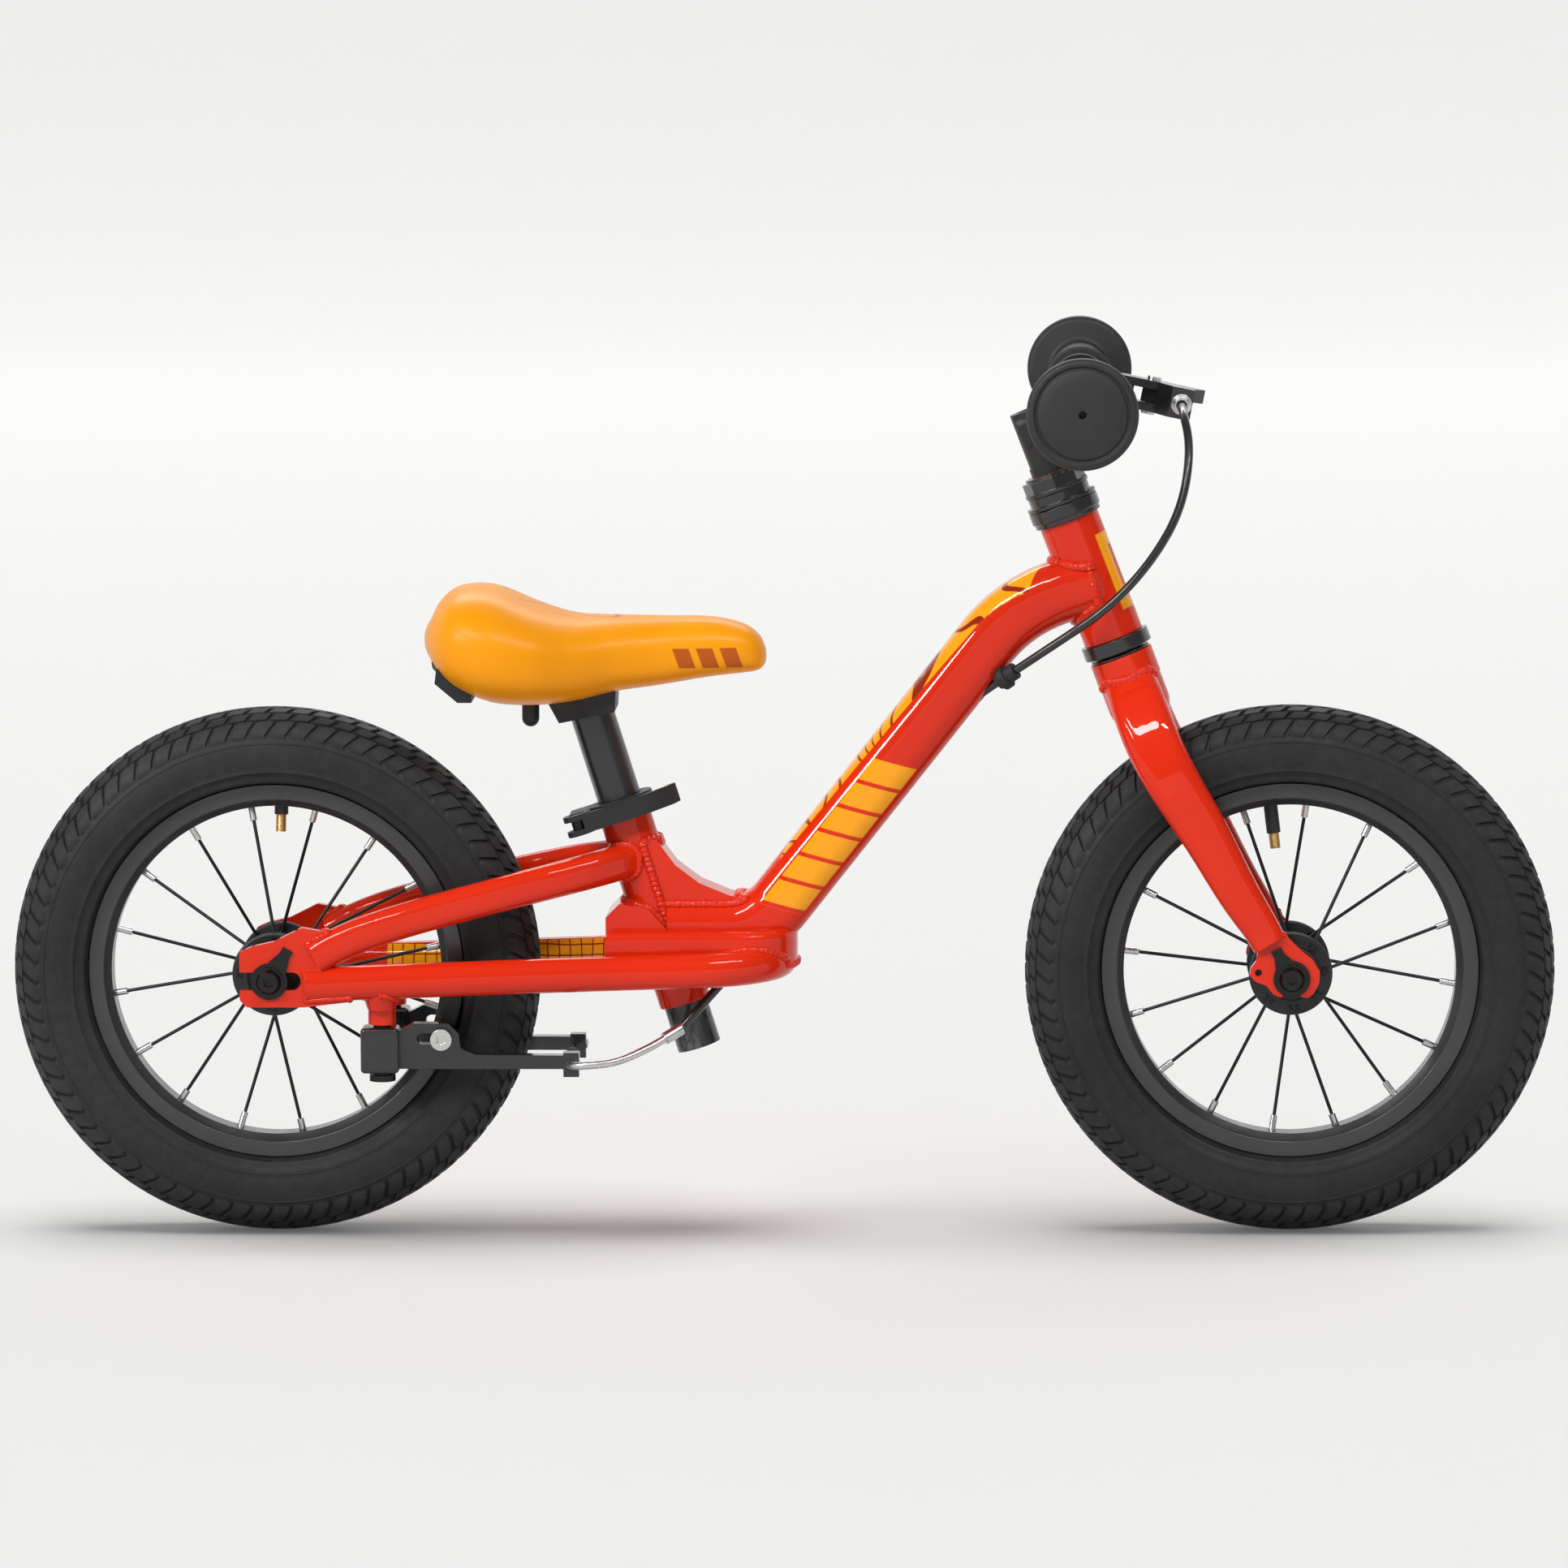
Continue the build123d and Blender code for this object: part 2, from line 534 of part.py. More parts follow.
def seat():
    post = SEAT * ring(POST_RADIUS, POST_RADIUS - 1.8, POST_LOW, POST_HIGH)
    post += SEAT * disc(POST_RADIUS - 1.8, POST_LOW, POST_LOW + 3)
    keep("seat_post", post)
    sections = [
        (-204.5, 60, 22, 345),
        (-196, 96, 46, 347),
        (-182, 124, 62, 346),
        (-162, 131, 64, 341),
        (-140, 122, 58, 336.5),
        (-118, 98, 49, 334),
        (-94, 72, 43, 336),
        (-68, 56, 39, 337.5),
        (-40, 48, 34, 339.5),
        (-22, 41, 28, 338.5),
        (-8.5, 22, 13, 333),
    ]
    cover = saddle_form(sections, 1.0)
    lower_outline = [(-199, 334), (-150, 316), (-94, 323), (-30, 330), (-30, 312), (-94, 290), (-150, 280)]
    lower_half = side_plate(lower_outline + [(-199, 300)], -80, 80)
    shell = saddle_form(sections, 0.9) & lower_half
    block = side_plate([(-134, 310), (-127, 297), (-95, 303.5), (-94, 322), (-134, 322)], -21, 21)
    peg = Pos(-144.5, 0, 294) * (disc(5.0, 4, 22) + Pos(0, 0, 4) * Sphere(5.0))
    heel = side_plate([(-196, 330), (-197, 322), (-184, 311), (-176, 311), (-176, 330)], -40, 40)
    base = shell + block + peg + heel
    post_space = SEAT * disc(POST_RADIUS, POST_LOW, POST_HIGH)
    base = base - post_space
    bolt_hole = SEAT * disc(3.2, POST_HIGH - 40, POST_HIGH + 16)
    cover = cover - shell - heel - peg - block - bolt_hole
    head = SEAT * (disc(3.0, POST_HIGH - 12, POST_HIGH + 8) + disc(5.5, POST_HIGH - 8, POST_HIGH - 4))
    washer = SEAT * disc(POST_RADIUS - 1.9, POST_HIGH - 4, POST_HIGH)
    keep("saddle_base", max((base - bolt_hole).solids(), key=lambda s: s.volume))
    keep("saddle_cover", max(cover.solids(), key=lambda s: s.volume))
    keep("saddle_bolt", head + washer)


# ---------------------------------------------------------------- fork
def fork():
    crown_top = -11.0
    steerer = HEAD * ring(STEERER_RADIUS, QUILL_RADIUS + 0.05, -30, HEAD_LENGTH + 29)
    crown = HEAD * (ring(18.5, STEERER_RADIUS - 0.5, -27, crown_top) + disc(18.0, -40, -27))
    crown = crown + steerer + HEAD * (Pos(0, 0, -40) * Sphere(18.0))
    stations = [
        ((199.5, -3, 318), 31, 24, 9),
        ((204, -16, 310), 31.5, 23, 9),
        ((209, -29, 297), 32, 21, 9),
        ((217, -38, 279), 31.5, 19, 8.5),
        ((232, -42, 253), 29.5, 17.5, 8),
        ((252, -43.5, 219), 26, 16.5, 7.5),
        ((269, -44.2, 190), 22.5, 15.5, 7),
        ((279.5, -44.5, 172.5), 20, 14.5, 6.5),
    ]
    forward = (HEAD.x_dir.X, 0, HEAD.x_dir.Z)
    blade = lofted(stations, forward)
    bore = lofted(stations, forward, wall=2.0)
    crown_solid = HEAD * disc(18.4, -40, crown_top) + HEAD * (Pos(0, 0, -40) * Sphere(18.0))
    hollow = blade - bore - crown_solid - crown
    blade_right = max(hollow.solids(), key=lambda s: s.volume)
    keep("fork_crown", crown)
    keep("fork_blades", *both_sides(blade_right))

    x, y, z = FRONT_AXLE
    outline = [(-20, 21), (-5, 27.5), (-1, 22.5), (5.5, 16), (12, 11), (16, 4), (15.5, -3), (12.5, -8.5),
               (9.6, -10.8), (-7.5, -10.5), (-10.5, -9.0), (-14.5, -4), (-21, -1.5), (-24, 2), (-23.5, 6),
               (-20.5, 10), (-19.5, 15)]
    inner_face = FRONT_HALF_WIDTH
    plate = side_plate([(x + dx, z + dz) for dx, dz in outline], inner_face, inner_face + DROPOUT_THICKNESS)
    plate = fillet(plate.edges().filter_by(Axis.Y), 1.2)
    slot = Pos(x, inner_face, z - 14) * Box(SLOT_WIDTH, 20, 28)
    slot += cross_rod(SLOT_WIDTH / 2, x, z, inner_face - 10, inner_face + 10)
    plate -= slot
    plate -= cross_rod(2.1, x - 19, z + 3.5, inner_face - 1, inner_face + 10)
    plate -= mirror(blade, about=Plane.XZ)
    plate = max(plate.solids(), key=lambda s: s.volume)
    keep("fork_dropouts", *both_sides(plate))


# ---------------------------------------------------------------- cockpit
def bar_plane():
    """On the bar axis; local X is forward and level, local Z runs to the left."""
    return Plane(origin=(BAR_CENTRE[0], 0, BAR_CENTRE[1]), x_dir=(1, 0, 0), z_dir=(0, 1, 0))


def cockpit():
    bar_line = bar_plane()
    bar = bar_line * ring(BAR_RADIUS, BAR_RADIUS - 2.0, -BAR_HALF_LENGTH, BAR_HALF_LENGTH)
    keep("handlebar", bar)

    stem_top = HEAD_LENGTH + 67.0
    quill = HEAD * disc(QUILL_RADIUS, 12, HEAD_LENGTH + 34) + HEAD * disc(10.4, HEAD_LENGTH + 34, stem_top)
    top = HEAD.from_local_coords(Vector(0, 0, stem_top))
    clamp = bar_line * disc(17.0, -20, 20)
    stations = [
        ((top.X - 2, 0, top.Z - 14), 21, 24, 8),
        ((top.X + 12, 0, top.Z - 6), 24, 26, 8),
        ((BAR_CENTRE[0] - 6, 0, BAR_CENTRE[1] - 2), 30, 28, 8),
    ]
    neck = lofted(stations, (0, 1, 0))
    stem = quill + neck + clamp
    stem -= bar_line * disc(BAR_RADIUS, -30, 30)
    stem -= Pos(BAR_CENTRE[0] + 12, 0, BAR_CENTRE[1] - 13) * Rot(0, 50, 0) * Box(24, 60, 1.6)
    stem -= HEAD * disc(3.2, 5, stem_top - 8)
    stem -= HEAD * disc(6.0, stem_top - 8, stem_top + 20)
    stem -= HEAD * (Pos(0, 0, 12) * Rot(0, 40, 0) * Box(60, 40, 0.8))
    stem = max(stem.solids(), key=lambda s: s.volume)
    keep("stem", stem)
    expander = HEAD * (disc(3.0, -6, stem_top - 6) + disc(5.5, stem_top - 8, stem_top - 2))
    expander -= HEAD * (Pos(0, 0, stem_top - 5) * extrude(RegularPolygon(3.2, 6), 4))
    wedge = HEAD * (disc(QUILL_RADIUS - 0.2, -10, 22) - disc(3.05, -12, 24))
    cut = HEAD * (Pos(0, 0, 12) * Rot(0, 40, 0) * Pos(0, 0, 40.4) * Box(160, 80, 80))
    wedge = max((wedge - cut).solids(), key=lambda s: s.volume)
    keep("stem_hardware", expander, wedge)

    grip_length = GRIP_END - GRIP_START
    side = [(BAR_RADIUS, 0), (19.0, 0), (19.8, 1.5), (19.0, 4), (15.6, 6)]
    ridge = 6.6
    ridges = int((grip_length - 24) / ridge)
    for i in range(ridges):
        start = 8 + i * ridge
        side += [(15.2, start), (16.2, start + 1.2)]
        side += [(16.2, start + ridge - 2.4), (15.2, start + ridge - 1.2)]
    side += [(16.5, grip_length - 15), (29.5, grip_length - 12), (31.0, grip_length - 10)]
    side += [(31.0, grip_length - 4), (29.6, grip_length - 2.4), (26.6, grip_length - 2.4)]
    side += [(26.0, grip_length - 3.4), (24.8, grip_length - 3.0), (20.0, grip_length - 1.2)]
    side += [(12.0, grip_length - 0.2), (2.2, grip_length), (2.2, grip_length - 4)]
    side += [(BAR_RADIUS, grip_length - 4.6)]
    left = Pos(BAR_CENTRE[0], GRIP_START, BAR_CENTRE[1]) * turned(side)
    keep("grips", *both_sides(left))


def lever_plane():
    """Origin on the bar axis in the lever's clamp; X forward and down with the lever, Y left, Z up."""
    a = radians(LEVER_DROOP)
    origin = (BAR_CENTRE[0], LEVER_Y, BAR_CENTRE[1])
    return Plane(origin=origin, x_dir=(cos(a), 0, -sin(a)), z_dir=(sin(a), 0, cos(a)))


def brake_lever():
    plane = lever_plane()
    pivot = LEVER_PIVOT_REACH
    clamp = Rot(90, 0, 0) * ring(16.0, BAR_RADIUS + 0.02, -7.5, 7.5)
    outline = [(12, -7.5), (12, 7.5), (30, 9), (47, 9), (52, 5), (66, 3)]
    outline += [(66, -20), (53, -20), (44, -9), (30, -8)]
    body = slab(outline, -9, 9)
    body += clamp
    slot = Pos(pivot + 9, 6, 0) * Box(40, 32, 8.4)
    body -= slot
    body -= Rot(90, 0, 0) * disc(BAR_RADIUS + 0.02, -12, 12)
    body -= Pos(pivot, 2, 0) * disc(2.5, -12, 12)
    adjuster_line = Plane(origin=(ADJUSTER_REACH, ADJUSTER_Y, 0), x_dir=(1, 0, 0), z_dir=(0, 1, 0))
    body -= adjuster_line * disc(3.5, -4, 14)
    pin = Pos(pivot, 2, 0) * (disc(2.5 - RUNNING_FIT, -9, 9) + disc(4.0, 9, 11) + disc(4.0, -11, -9))
    body = max(body.solids(), key=lambda s: s.volume)
    keep("brake_lever_bracket", plane * body)
    keep("lever_pivot_pin", plane * pin)
    adjuster = disc(3.5, -2, 10) + disc(6.0, -8, 0) + disc(4.6, -14, -8)
    adjuster -= disc(CABLE_RADIUS + 0.05, -15, -5)
    adjuster -= disc(1.2, -16, 14)
    keep("cable_adjuster", plane * (adjuster_line * adjuster))
    outline = [(-6, -3), (4, -6), (12, -2), (20, 10), (24, 30), (22, 52), (26, 66), (33, 74)]
    outline += [(30, 80), (22, 74), (13, 58), (14, 32), (8, 14), (-4, 7)]
    blade = slab([(pivot + dx, dy) for dx, dy in outline], -4, 4)
    blade -= Pos(pivot, 2, 0) * disc(2.5, -6, 6)
    blade = fillet(blade.edges().filter_by(Axis.Z), 1.0)
    keep("brake_lever", plane * blade)


# ---------------------------------------------------------------- rear brake
def arm_outline():
    """Side outline of a brake arm ahead of its pivot block."""
    x = BOSS_X
    bar = [(x + 8, 99.8), (x + 112, 99.6), (x + 114, 101.5), (x + 112, 107.4), (x + 96, 107.6)]
    return bar + [(x + 54, 107.8), (x + 45, 111.5), (x + 44, 120), (x + 38, 126), (x + 18, 126), (x + 8, 121)]


def pad(side):
    """A rubber block curved along the rim, with its bolt through the arm's slot."""
    face = RIM_HALF_WIDTH + PAD_GAP
    start = PAD_ANGLE - 12
    block = Rot(-90, 0, 0) * ring(107.6, 99.6, face, face + 9)
    fan = [(150 * cos(radians(a)), 150 * sin(radians(a))) for a in (start, start + 24)]
    wedge = side_plate([(0, 0)] + fan, 0, 60)
    block = block & wedge
    x, y, z = rim_point(PAD_ANGLE, PAD_RADIUS)
    bolt = cross_rod(3.0, x, z, face + 5, 45) + cross_rod(5.2, x, z, face + 8.5, 32.0)
    bolt += cross_rod(6.2, x, z, 41.2, 46.5)
    bolt -= Plane(origin=(x, 44, z), z_dir=(0, 1, 0)) * extrude(RegularPolygon(2.9, 6), 4)
    body = Pos(*REAR_AXLE) * (block + bolt)
    return body if side > 0 else mirror(body, about=Plane.XZ)


def brake():
    arm_in = 32.5
    arm_out = 41.0
    block = Pos(BOSS_X - 1, BOSS_Y, 98) * Box(22, 19, 26.5, align=(Align.CENTER, Align.CENTER, Align.MIN))
    block = fillet(block.edges(), 2.5)
    arm = side_plate(arm_outline(), arm_in, arm_out)
    arm = fillet(arm.edges().filter_by(Axis.Y), 1.4)
    arm = arm + block
    x, y, z = rim_point(PAD_ANGLE, PAD_RADIUS)
    pad_x = x + REAR_AXLE[0]
    pad_z = z + REAR_AXLE[2]
    slot = 11.0
    arm -= Pos(pad_x - slot / 2, 37, pad_z) * Box(slot, 20, 6.4)
    arm -= cross_rod(3.2, pad_x, pad_z, 25, 50)
    arm -= cross_rod(3.2, pad_x - slot, pad_z, 25, 50)
    arm -= Pos(BOSS_X, BOSS_Y, 90) * disc(5.0, 0, 50)
    arm += Pos(BOSS_X + 108.5, 36.75, 102) * Box(9, 8.5, 14)
    left = arm
    right = mirror(arm, about=Plane.XZ)
    anchor = cross_rod(5.5, BOSS_X + 108.5, 102, 41.0, 46) + cross_rod(3.5, BOSS_X + 108.5, 102, 46, 50)
    wire_hole = cross_rod(1.2, BOSS_X + 106.5, 102, 0, 60)
    left -= wire_hole
    noodle_hole = rod(NOODLE[0], NOODLE[1], NOODLE_RADIUS)
    right -= noodle_hole
    keep("brake_arm_left", max(left.solids(), key=lambda s: s.volume))
    keep("brake_arm_right", max(right.solids(), key=lambda s: s.volume))
    keep("brake_cable_anchor", anchor - wire_hole)
    keep("brake_pad_left", pad(1))
    keep("brake_pad_right", pad(-1))
    noodle = cable(NOODLE, NOODLE_RADIUS, "noodle")
    end = Vector(*NOODLE[-1])
    run = (end - Vector(*NOODLE[-2])).normalized()
    ferrule = rod(end - run * 6, end + run * 5.5, 3.6)
    keep("brake_noodle", noodle + ferrule)
    wire_x = NOODLE[0][0]
    wire = cross_rod(0.8, wire_x, NOODLE[0][2], NOODLE[0][1] + 0.5, 50.5)
    boot = cross_rod(3.6, wire_x, NOODLE[0][2], NOODLE[0][1] + 1.0, 6.0)
    keep("brake_inner_wire", wire + boot)


def cable_port(bore):
    """The rubber grommet where the housing enters the main tube."""
    mouth = Vector(*FRONT_CABLE[-1])
    run = (mouth - Vector(*FRONT_CABLE[-2])).normalized()
    port = rod(mouth - run * 9, mouth + run * 4, 5.0) + rod(mouth - run * 3, mouth + run * 1.5, 7.0)
    return port - rod(mouth - run * 12, mouth + run * 8, bore) if bore else port


def housings():
    keep("brake_housing_front", cable(FRONT_CABLE, CABLE_RADIUS, "front housing"))
    keep("brake_housing_rear", cable(REAR_CABLE, CABLE_RADIUS, "rear housing"))
    keep("cable_port", cable_port(CABLE_RADIUS + 0.02))


def build():
    wheel("front", FRONT_AXLE, FRONT_SPOKE_START, FRONT_VALVE_ANGLE, 79.0, 70.0)
    wheel("rear", REAR_AXLE, REAR_SPOKE_START, REAR_VALVE_ANGLE, 90.0, 80.0)
    axle_set("front", FRONT_AXLE, FRONT_HALF_WIDTH, (-9.1, 16.8))
    axle_set("rear", REAR_AXLE, REAR_HALF_WIDTH, (11.0, 18.5))
    seat_solid, loop_solid = frame_tubes()
    stay = upper_stays(seat_solid, loop_solid)
    rear_dropouts(stay, loop_solid)
    brake_bosses(loop_solid)
    headset()
    seat_clamp()
    seat()
    fork()
    cockpit()
    brake_lever()
    brake()
    housings()
    os.makedirs("parts", exist_ok=True)
    for name, shape in NODES.items():
        export_step(shape, "parts/" + name + ".step")
    print(len(NODES), "nodes")


build()
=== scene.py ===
import json
import math

import bmesh
import bpy
import numpy as np
from mathutils import Matrix, Vector
from mathutils.bvhtree import BVHTree

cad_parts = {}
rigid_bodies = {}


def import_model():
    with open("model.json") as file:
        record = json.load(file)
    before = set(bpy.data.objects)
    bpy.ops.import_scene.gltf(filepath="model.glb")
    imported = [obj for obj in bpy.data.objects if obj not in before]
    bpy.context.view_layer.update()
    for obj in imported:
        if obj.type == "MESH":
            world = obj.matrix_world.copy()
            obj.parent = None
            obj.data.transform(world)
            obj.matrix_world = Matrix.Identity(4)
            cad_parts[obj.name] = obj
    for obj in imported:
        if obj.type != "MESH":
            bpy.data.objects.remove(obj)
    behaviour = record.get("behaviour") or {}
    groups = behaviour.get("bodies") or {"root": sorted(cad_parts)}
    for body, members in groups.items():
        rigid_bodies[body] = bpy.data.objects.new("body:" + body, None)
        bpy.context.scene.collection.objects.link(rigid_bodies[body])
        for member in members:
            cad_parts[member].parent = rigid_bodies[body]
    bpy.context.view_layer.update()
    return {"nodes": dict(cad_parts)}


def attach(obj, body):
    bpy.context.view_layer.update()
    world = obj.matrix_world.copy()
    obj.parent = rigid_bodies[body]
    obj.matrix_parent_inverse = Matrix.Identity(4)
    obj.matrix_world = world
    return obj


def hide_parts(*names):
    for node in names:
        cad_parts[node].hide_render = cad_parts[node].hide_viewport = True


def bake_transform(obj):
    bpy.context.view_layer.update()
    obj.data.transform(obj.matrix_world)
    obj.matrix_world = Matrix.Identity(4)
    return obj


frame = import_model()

MM = 0.001
FRONT_AXLE = Vector((0.2923, 0, 0.1525))
REAR_AXLE = Vector((-0.2923, 0, 0.1525))
HEAD_TILT = math.radians(20.8)
HEAD = Matrix.Translation((0.1912, 0, 0.3441)) @ Matrix.Rotation(-HEAD_TILT, 4, "Y")
BAR = Vector((0.1725, 0, 0.486))


# ------------------------------------------------------------------ node helpers
class Shader:
    """A small wrapper that builds one Principled material."""

    def __init__(self, name, colour, roughness, metallic=0.0, **settings):
        self.mat = bpy.data.materials.new(name)
        self.mat.use_nodes = True
        self.tree = self.mat.node_tree
        self.bsdf = self.tree.nodes["Principled BSDF"]
        self.bsdf.inputs["Base Color"].default_value = (*colour, 1)
        self.bsdf.inputs["Roughness"].default_value = roughness
        self.bsdf.inputs["Metallic"].default_value = metallic
        for key, value in settings.items():
            self.bsdf.inputs[key.replace("_", " ")].default_value = value
        self.coords = self.tree.nodes.new("ShaderNodeTexCoord")
        self.normal_out = None

    def put(self, socket, value):
        if isinstance(value, bpy.types.NodeSocket):
            self.tree.links.new(value, socket)
        else:
            socket.default_value = value

    def node(self, kind, out=0, props=None, **inputs):
        n = self.tree.nodes.new(kind)
        for key, value in (props or {}).items():
            setattr(n, key, value)
        for key, value in inputs.items():
            index = int(key[1:]) if key[0] == "i" and key[1:].isdigit() else key.replace("_", " ")
            self.put(n.inputs[index], value)
        return n.outputs[out]

    def math(self, op, a, b=0.0, c=0.0):
        return self.node("ShaderNodeMath", props={"operation": op}, i0=a, i1=b, i2=c)

    def add(self, a, b):
        return self.math("ADD", a, b)

    def mul(self, a, b):
        return self.math("MULTIPLY", a, b)

    def above(self, value, edge, soft):
        """0 below the edge, 1 above it, with a soft step."""
        return self.remap(value, edge - soft, edge + soft, 0.0, 1.0)

    def between(self, value, low, high, soft):
        below = self.math("SUBTRACT", 1.0, self.above(value, high, soft))
        return self.mul(self.above(value, low, soft), below)

    def remap(self, value, low, high, to_low, to_high):
        return self.node("ShaderNodeMapRange", i0=value, i1=low, i2=high, i3=to_low, i4=to_high)

    def position(self):
        return self.coords.outputs["Object"]

    def xyz(self, vector=None):
        n = self.tree.nodes.new("ShaderNodeSeparateXYZ")
        self.tree.links.new(vector or self.position(), n.inputs[0])
        return n.outputs[0], n.outputs[1], n.outputs[2]

    def dot(self, vector, direction):
        props = {"operation": "DOT_PRODUCT"}
        return self.node("ShaderNodeVectorMath", out=1, props=props, i0=vector, i1=direction)

    def noise(self, scale, detail=2.0, rough=0.5, stretch=None):
        vector = self.position()
        if stretch:
            vector = self.node("ShaderNodeVectorMath", props={"operation": "MULTIPLY"}, i0=vector, i1=stretch)
        return self.node("ShaderNodeTexNoise", Vector=vector, Scale=scale, Detail=detail, Roughness=rough)

    def mix(self, factor, a, b):
        n = self.tree.nodes.new("ShaderNodeMix")
        n.data_type = "RGBA"
        self.put(n.inputs[0], factor)
        self.put(n.inputs[6], a if isinstance(a, bpy.types.NodeSocket) else (*a, 1))
        self.put(n.inputs[7], b if isinstance(b, bpy.types.NodeSocket) else (*b, 1))
        return n.outputs[2]

    def colour(self, value):
        self.put(self.bsdf.inputs["Base Color"], value)
        return self

    def roughness(self, value):
        self.put(self.bsdf.inputs["Roughness"], value)
        return self

    def bump(self, height, strength, distance):
        n = self.tree.nodes.new("ShaderNodeBump")
        n.inputs["Strength"].default_value = strength
        n.inputs["Distance"].default_value = distance
        self.tree.links.new(height, n.inputs["Height"])
        if self.normal_out:
            self.tree.links.new(self.normal_out, n.inputs["Normal"])
        self.normal_out = n.outputs[0]
        self.tree.links.new(self.normal_out, self.bsdf.inputs["Normal"])
        return self


RED = (0.640, 0.021, 0.0030)
RED_DEEP = (0.47, 0.014, 0.003)
ORANGE = (0.84, 0.325, 0.005)
DARK_RED = (0.26, 0.018, 0.004)


def paint_shader(name, roughness=0.30):
    """Glossy red-orange lacquer with a clear coat and a faint orange peel."""
    s = Shader(name, RED, roughness, Coat_Weight=0.85, Coat_Roughness=0.025, Coat_IOR=1.40,
               Specular_IOR_Level=0.02)
    drift = s.remap(s.noise(7.0, 3.0), 0.35, 0.65, 0.0, 1.0)
    base = s.mix(drift, RED, tuple(c * 0.9 for c in RED))
    s.base = base
    s.colour(base)
    s.roughness(s.remap(s.noise(60.0, 3.0), 0.3, 0.7, roughness - 0.05, roughness + 0.06))
    s.bump(s.noise(420.0, 2.0), 0.035, 0.0004)
    return s


def main_tube_paint():
    s = paint_shader("paint_main_tube")
    x, y, z = s.xyz()
    nx, ny, nz = s.xyz(s.coords.outputs["Normal"])
    side = s.math("ABSOLUTE", ny)
    along = s.dot(s.position(), (0.6195, 0, 0.785))
    across = s.dot(s.position(), (-0.785, 0, 0.6195))
    # the wrap on the tube's upper face, wider round the bend, with thin contour lines
    limit = s.remap(x, 0.0, 0.140, 0.50, 0.93)
    upper = s.above(s.math("SUBTRACT", limit, side), 0.0, 0.012)
    upper = s.mul(upper, s.above(nz, 0.05, 0.02))
    ends = s.add(x, s.mul(side, 0.010))
    wrap = s.mul(upper, s.between(ends, 0.004, 0.152, 0.0006))
    field = s.mul(s.noise(17.0, 1.0, 0.3, (1.0, 0.55, 1.0)), 15.0)
    line = s.math("FRACT", field)
    line = s.mul(s.above(line, 0.17, 0.02), s.math("SUBTRACT", 1.0, s.above(line, 0.985, 0.010)))
    wrap_colour = s.mix(line, DARK_RED, ORANGE)
    # the generic bar motif on each side of the tube's lower half
    slant = s.add(along, s.mul(across, 0.42))
    step = s.math("FRACT", s.mul(s.math("SUBTRACT", slant, 0.1978), 1 / 0.0178))
    bars = s.above(step, 0.15, 0.02)
    bars = s.mul(bars, s.between(slant, 0.1978, 0.3046, 0.0003))
    bars = s.mul(bars, s.between(across, 0.1058, 0.1290, 0.0003))
    bars = s.mul(bars, s.above(side, 0.45, 0.02))
    colour = s.mix(wrap, s.base, wrap_colour)
    colour = s.mix(bars, colour, ORANGE)
    s.colour(colour)
    s.bump(s.add(wrap, bars), 0.25, 0.00008)
    return s.mat


def head_tube_paint():
    s = paint_shader("paint_head_tube")
    x, y, z = s.xyz()
    forward = (math.cos(HEAD_TILT), 0, math.sin(HEAD_TILT))
    up = (-math.sin(HEAD_TILT), 0, math.cos(HEAD_TILT))
    base = 0.1912 * up[0] + 0.3441 * up[2]
    height = s.math("SUBTRACT", s.dot(s.position(), up), base)
    across = s.math("ABSOLUTE", y)
    front = s.above(s.dot(s.coords.outputs["Normal"], forward), 0.1, 0.02)
    narrow = s.math("SUBTRACT", 1.0, s.above(across, 0.0135, 0.0003))
    panel = s.mul(s.between(height, 0.014, 0.060, 0.0003), narrow)
    panel = s.mul(panel, front)
    inner = s.mul(s.between(height, 0.021, 0.052, 0.0003), s.between(across, 0.0030, 0.0072, 0.0002))
    colour = s.mix(panel, s.base, ORANGE)
    s.colour(s.mix(s.mul(panel, inner), colour, RED_DEEP))
    s.bump(panel, 0.25, 0.00008)
    return s.mat


def loop_paint():
    s = paint_shader("paint_stay_loop")
    x, y, z = s.xyz()
    inward = s.mul(s.math("SIGN", y), s.xyz(s.coords.outputs["Normal"])[1])
    inside = s.above(s.mul(inward, -1.0), 0.45, 0.03)
    zone = s.mul(inside, s.between(x, -0.232, -0.100, 0.0004))
    grid_x = s.math("FRACT", s.mul(s.add(x, s.mul(s.noise(40.0), 0.004)), 1 / 0.0065))
    grid_z = s.math("FRACT", s.mul(s.add(z, s.mul(s.noise(33.0), 0.003)), 1 / 0.0060))
    lines = s.mul(s.above(grid_x, 0.12, 0.03), s.above(grid_z, 0.13, 0.03))
    s.colour(s.mix(zone, s.base, s.mix(lines, DARK_RED, ORANGE)))
    return s.mat


def weld_paint():
    s = paint_shader("paint_weld", 0.26)
    s.bump(s.noise(900.0, 2.0), 0.10, 0.0003)
    return s.mat


def black_alloy(name, shade, roughness, coat=0.0, grain=0.15):
    s = Shader(name, (shade, shade, shade * 1.04), roughness, 0.25, Coat_Weight=coat, Coat_Roughness=0.12)
    fleck = s.remap(s.noise(1500.0, 2.0), 0.35, 0.65, 0.82, 1.2)
    smudge = s.remap(s.noise(28.0, 4.0), 0.3, 0.7, 0.9, 1.12)
    value = s.mul(s.mul(fleck, smudge), shade)
    tint = s.node("ShaderNodeCombineColor", i0=value, i1=value, i2=s.mul(value, 1.04))
    s.colour(tint)
    s.roughness(s.remap(s.noise(45.0, 4.0), 0.3, 0.7, roughness - 0.07, roughness + 0.09))
    s.bump(s.noise(1800.0, 2.0), grain, 0.00012)
    return s.mat


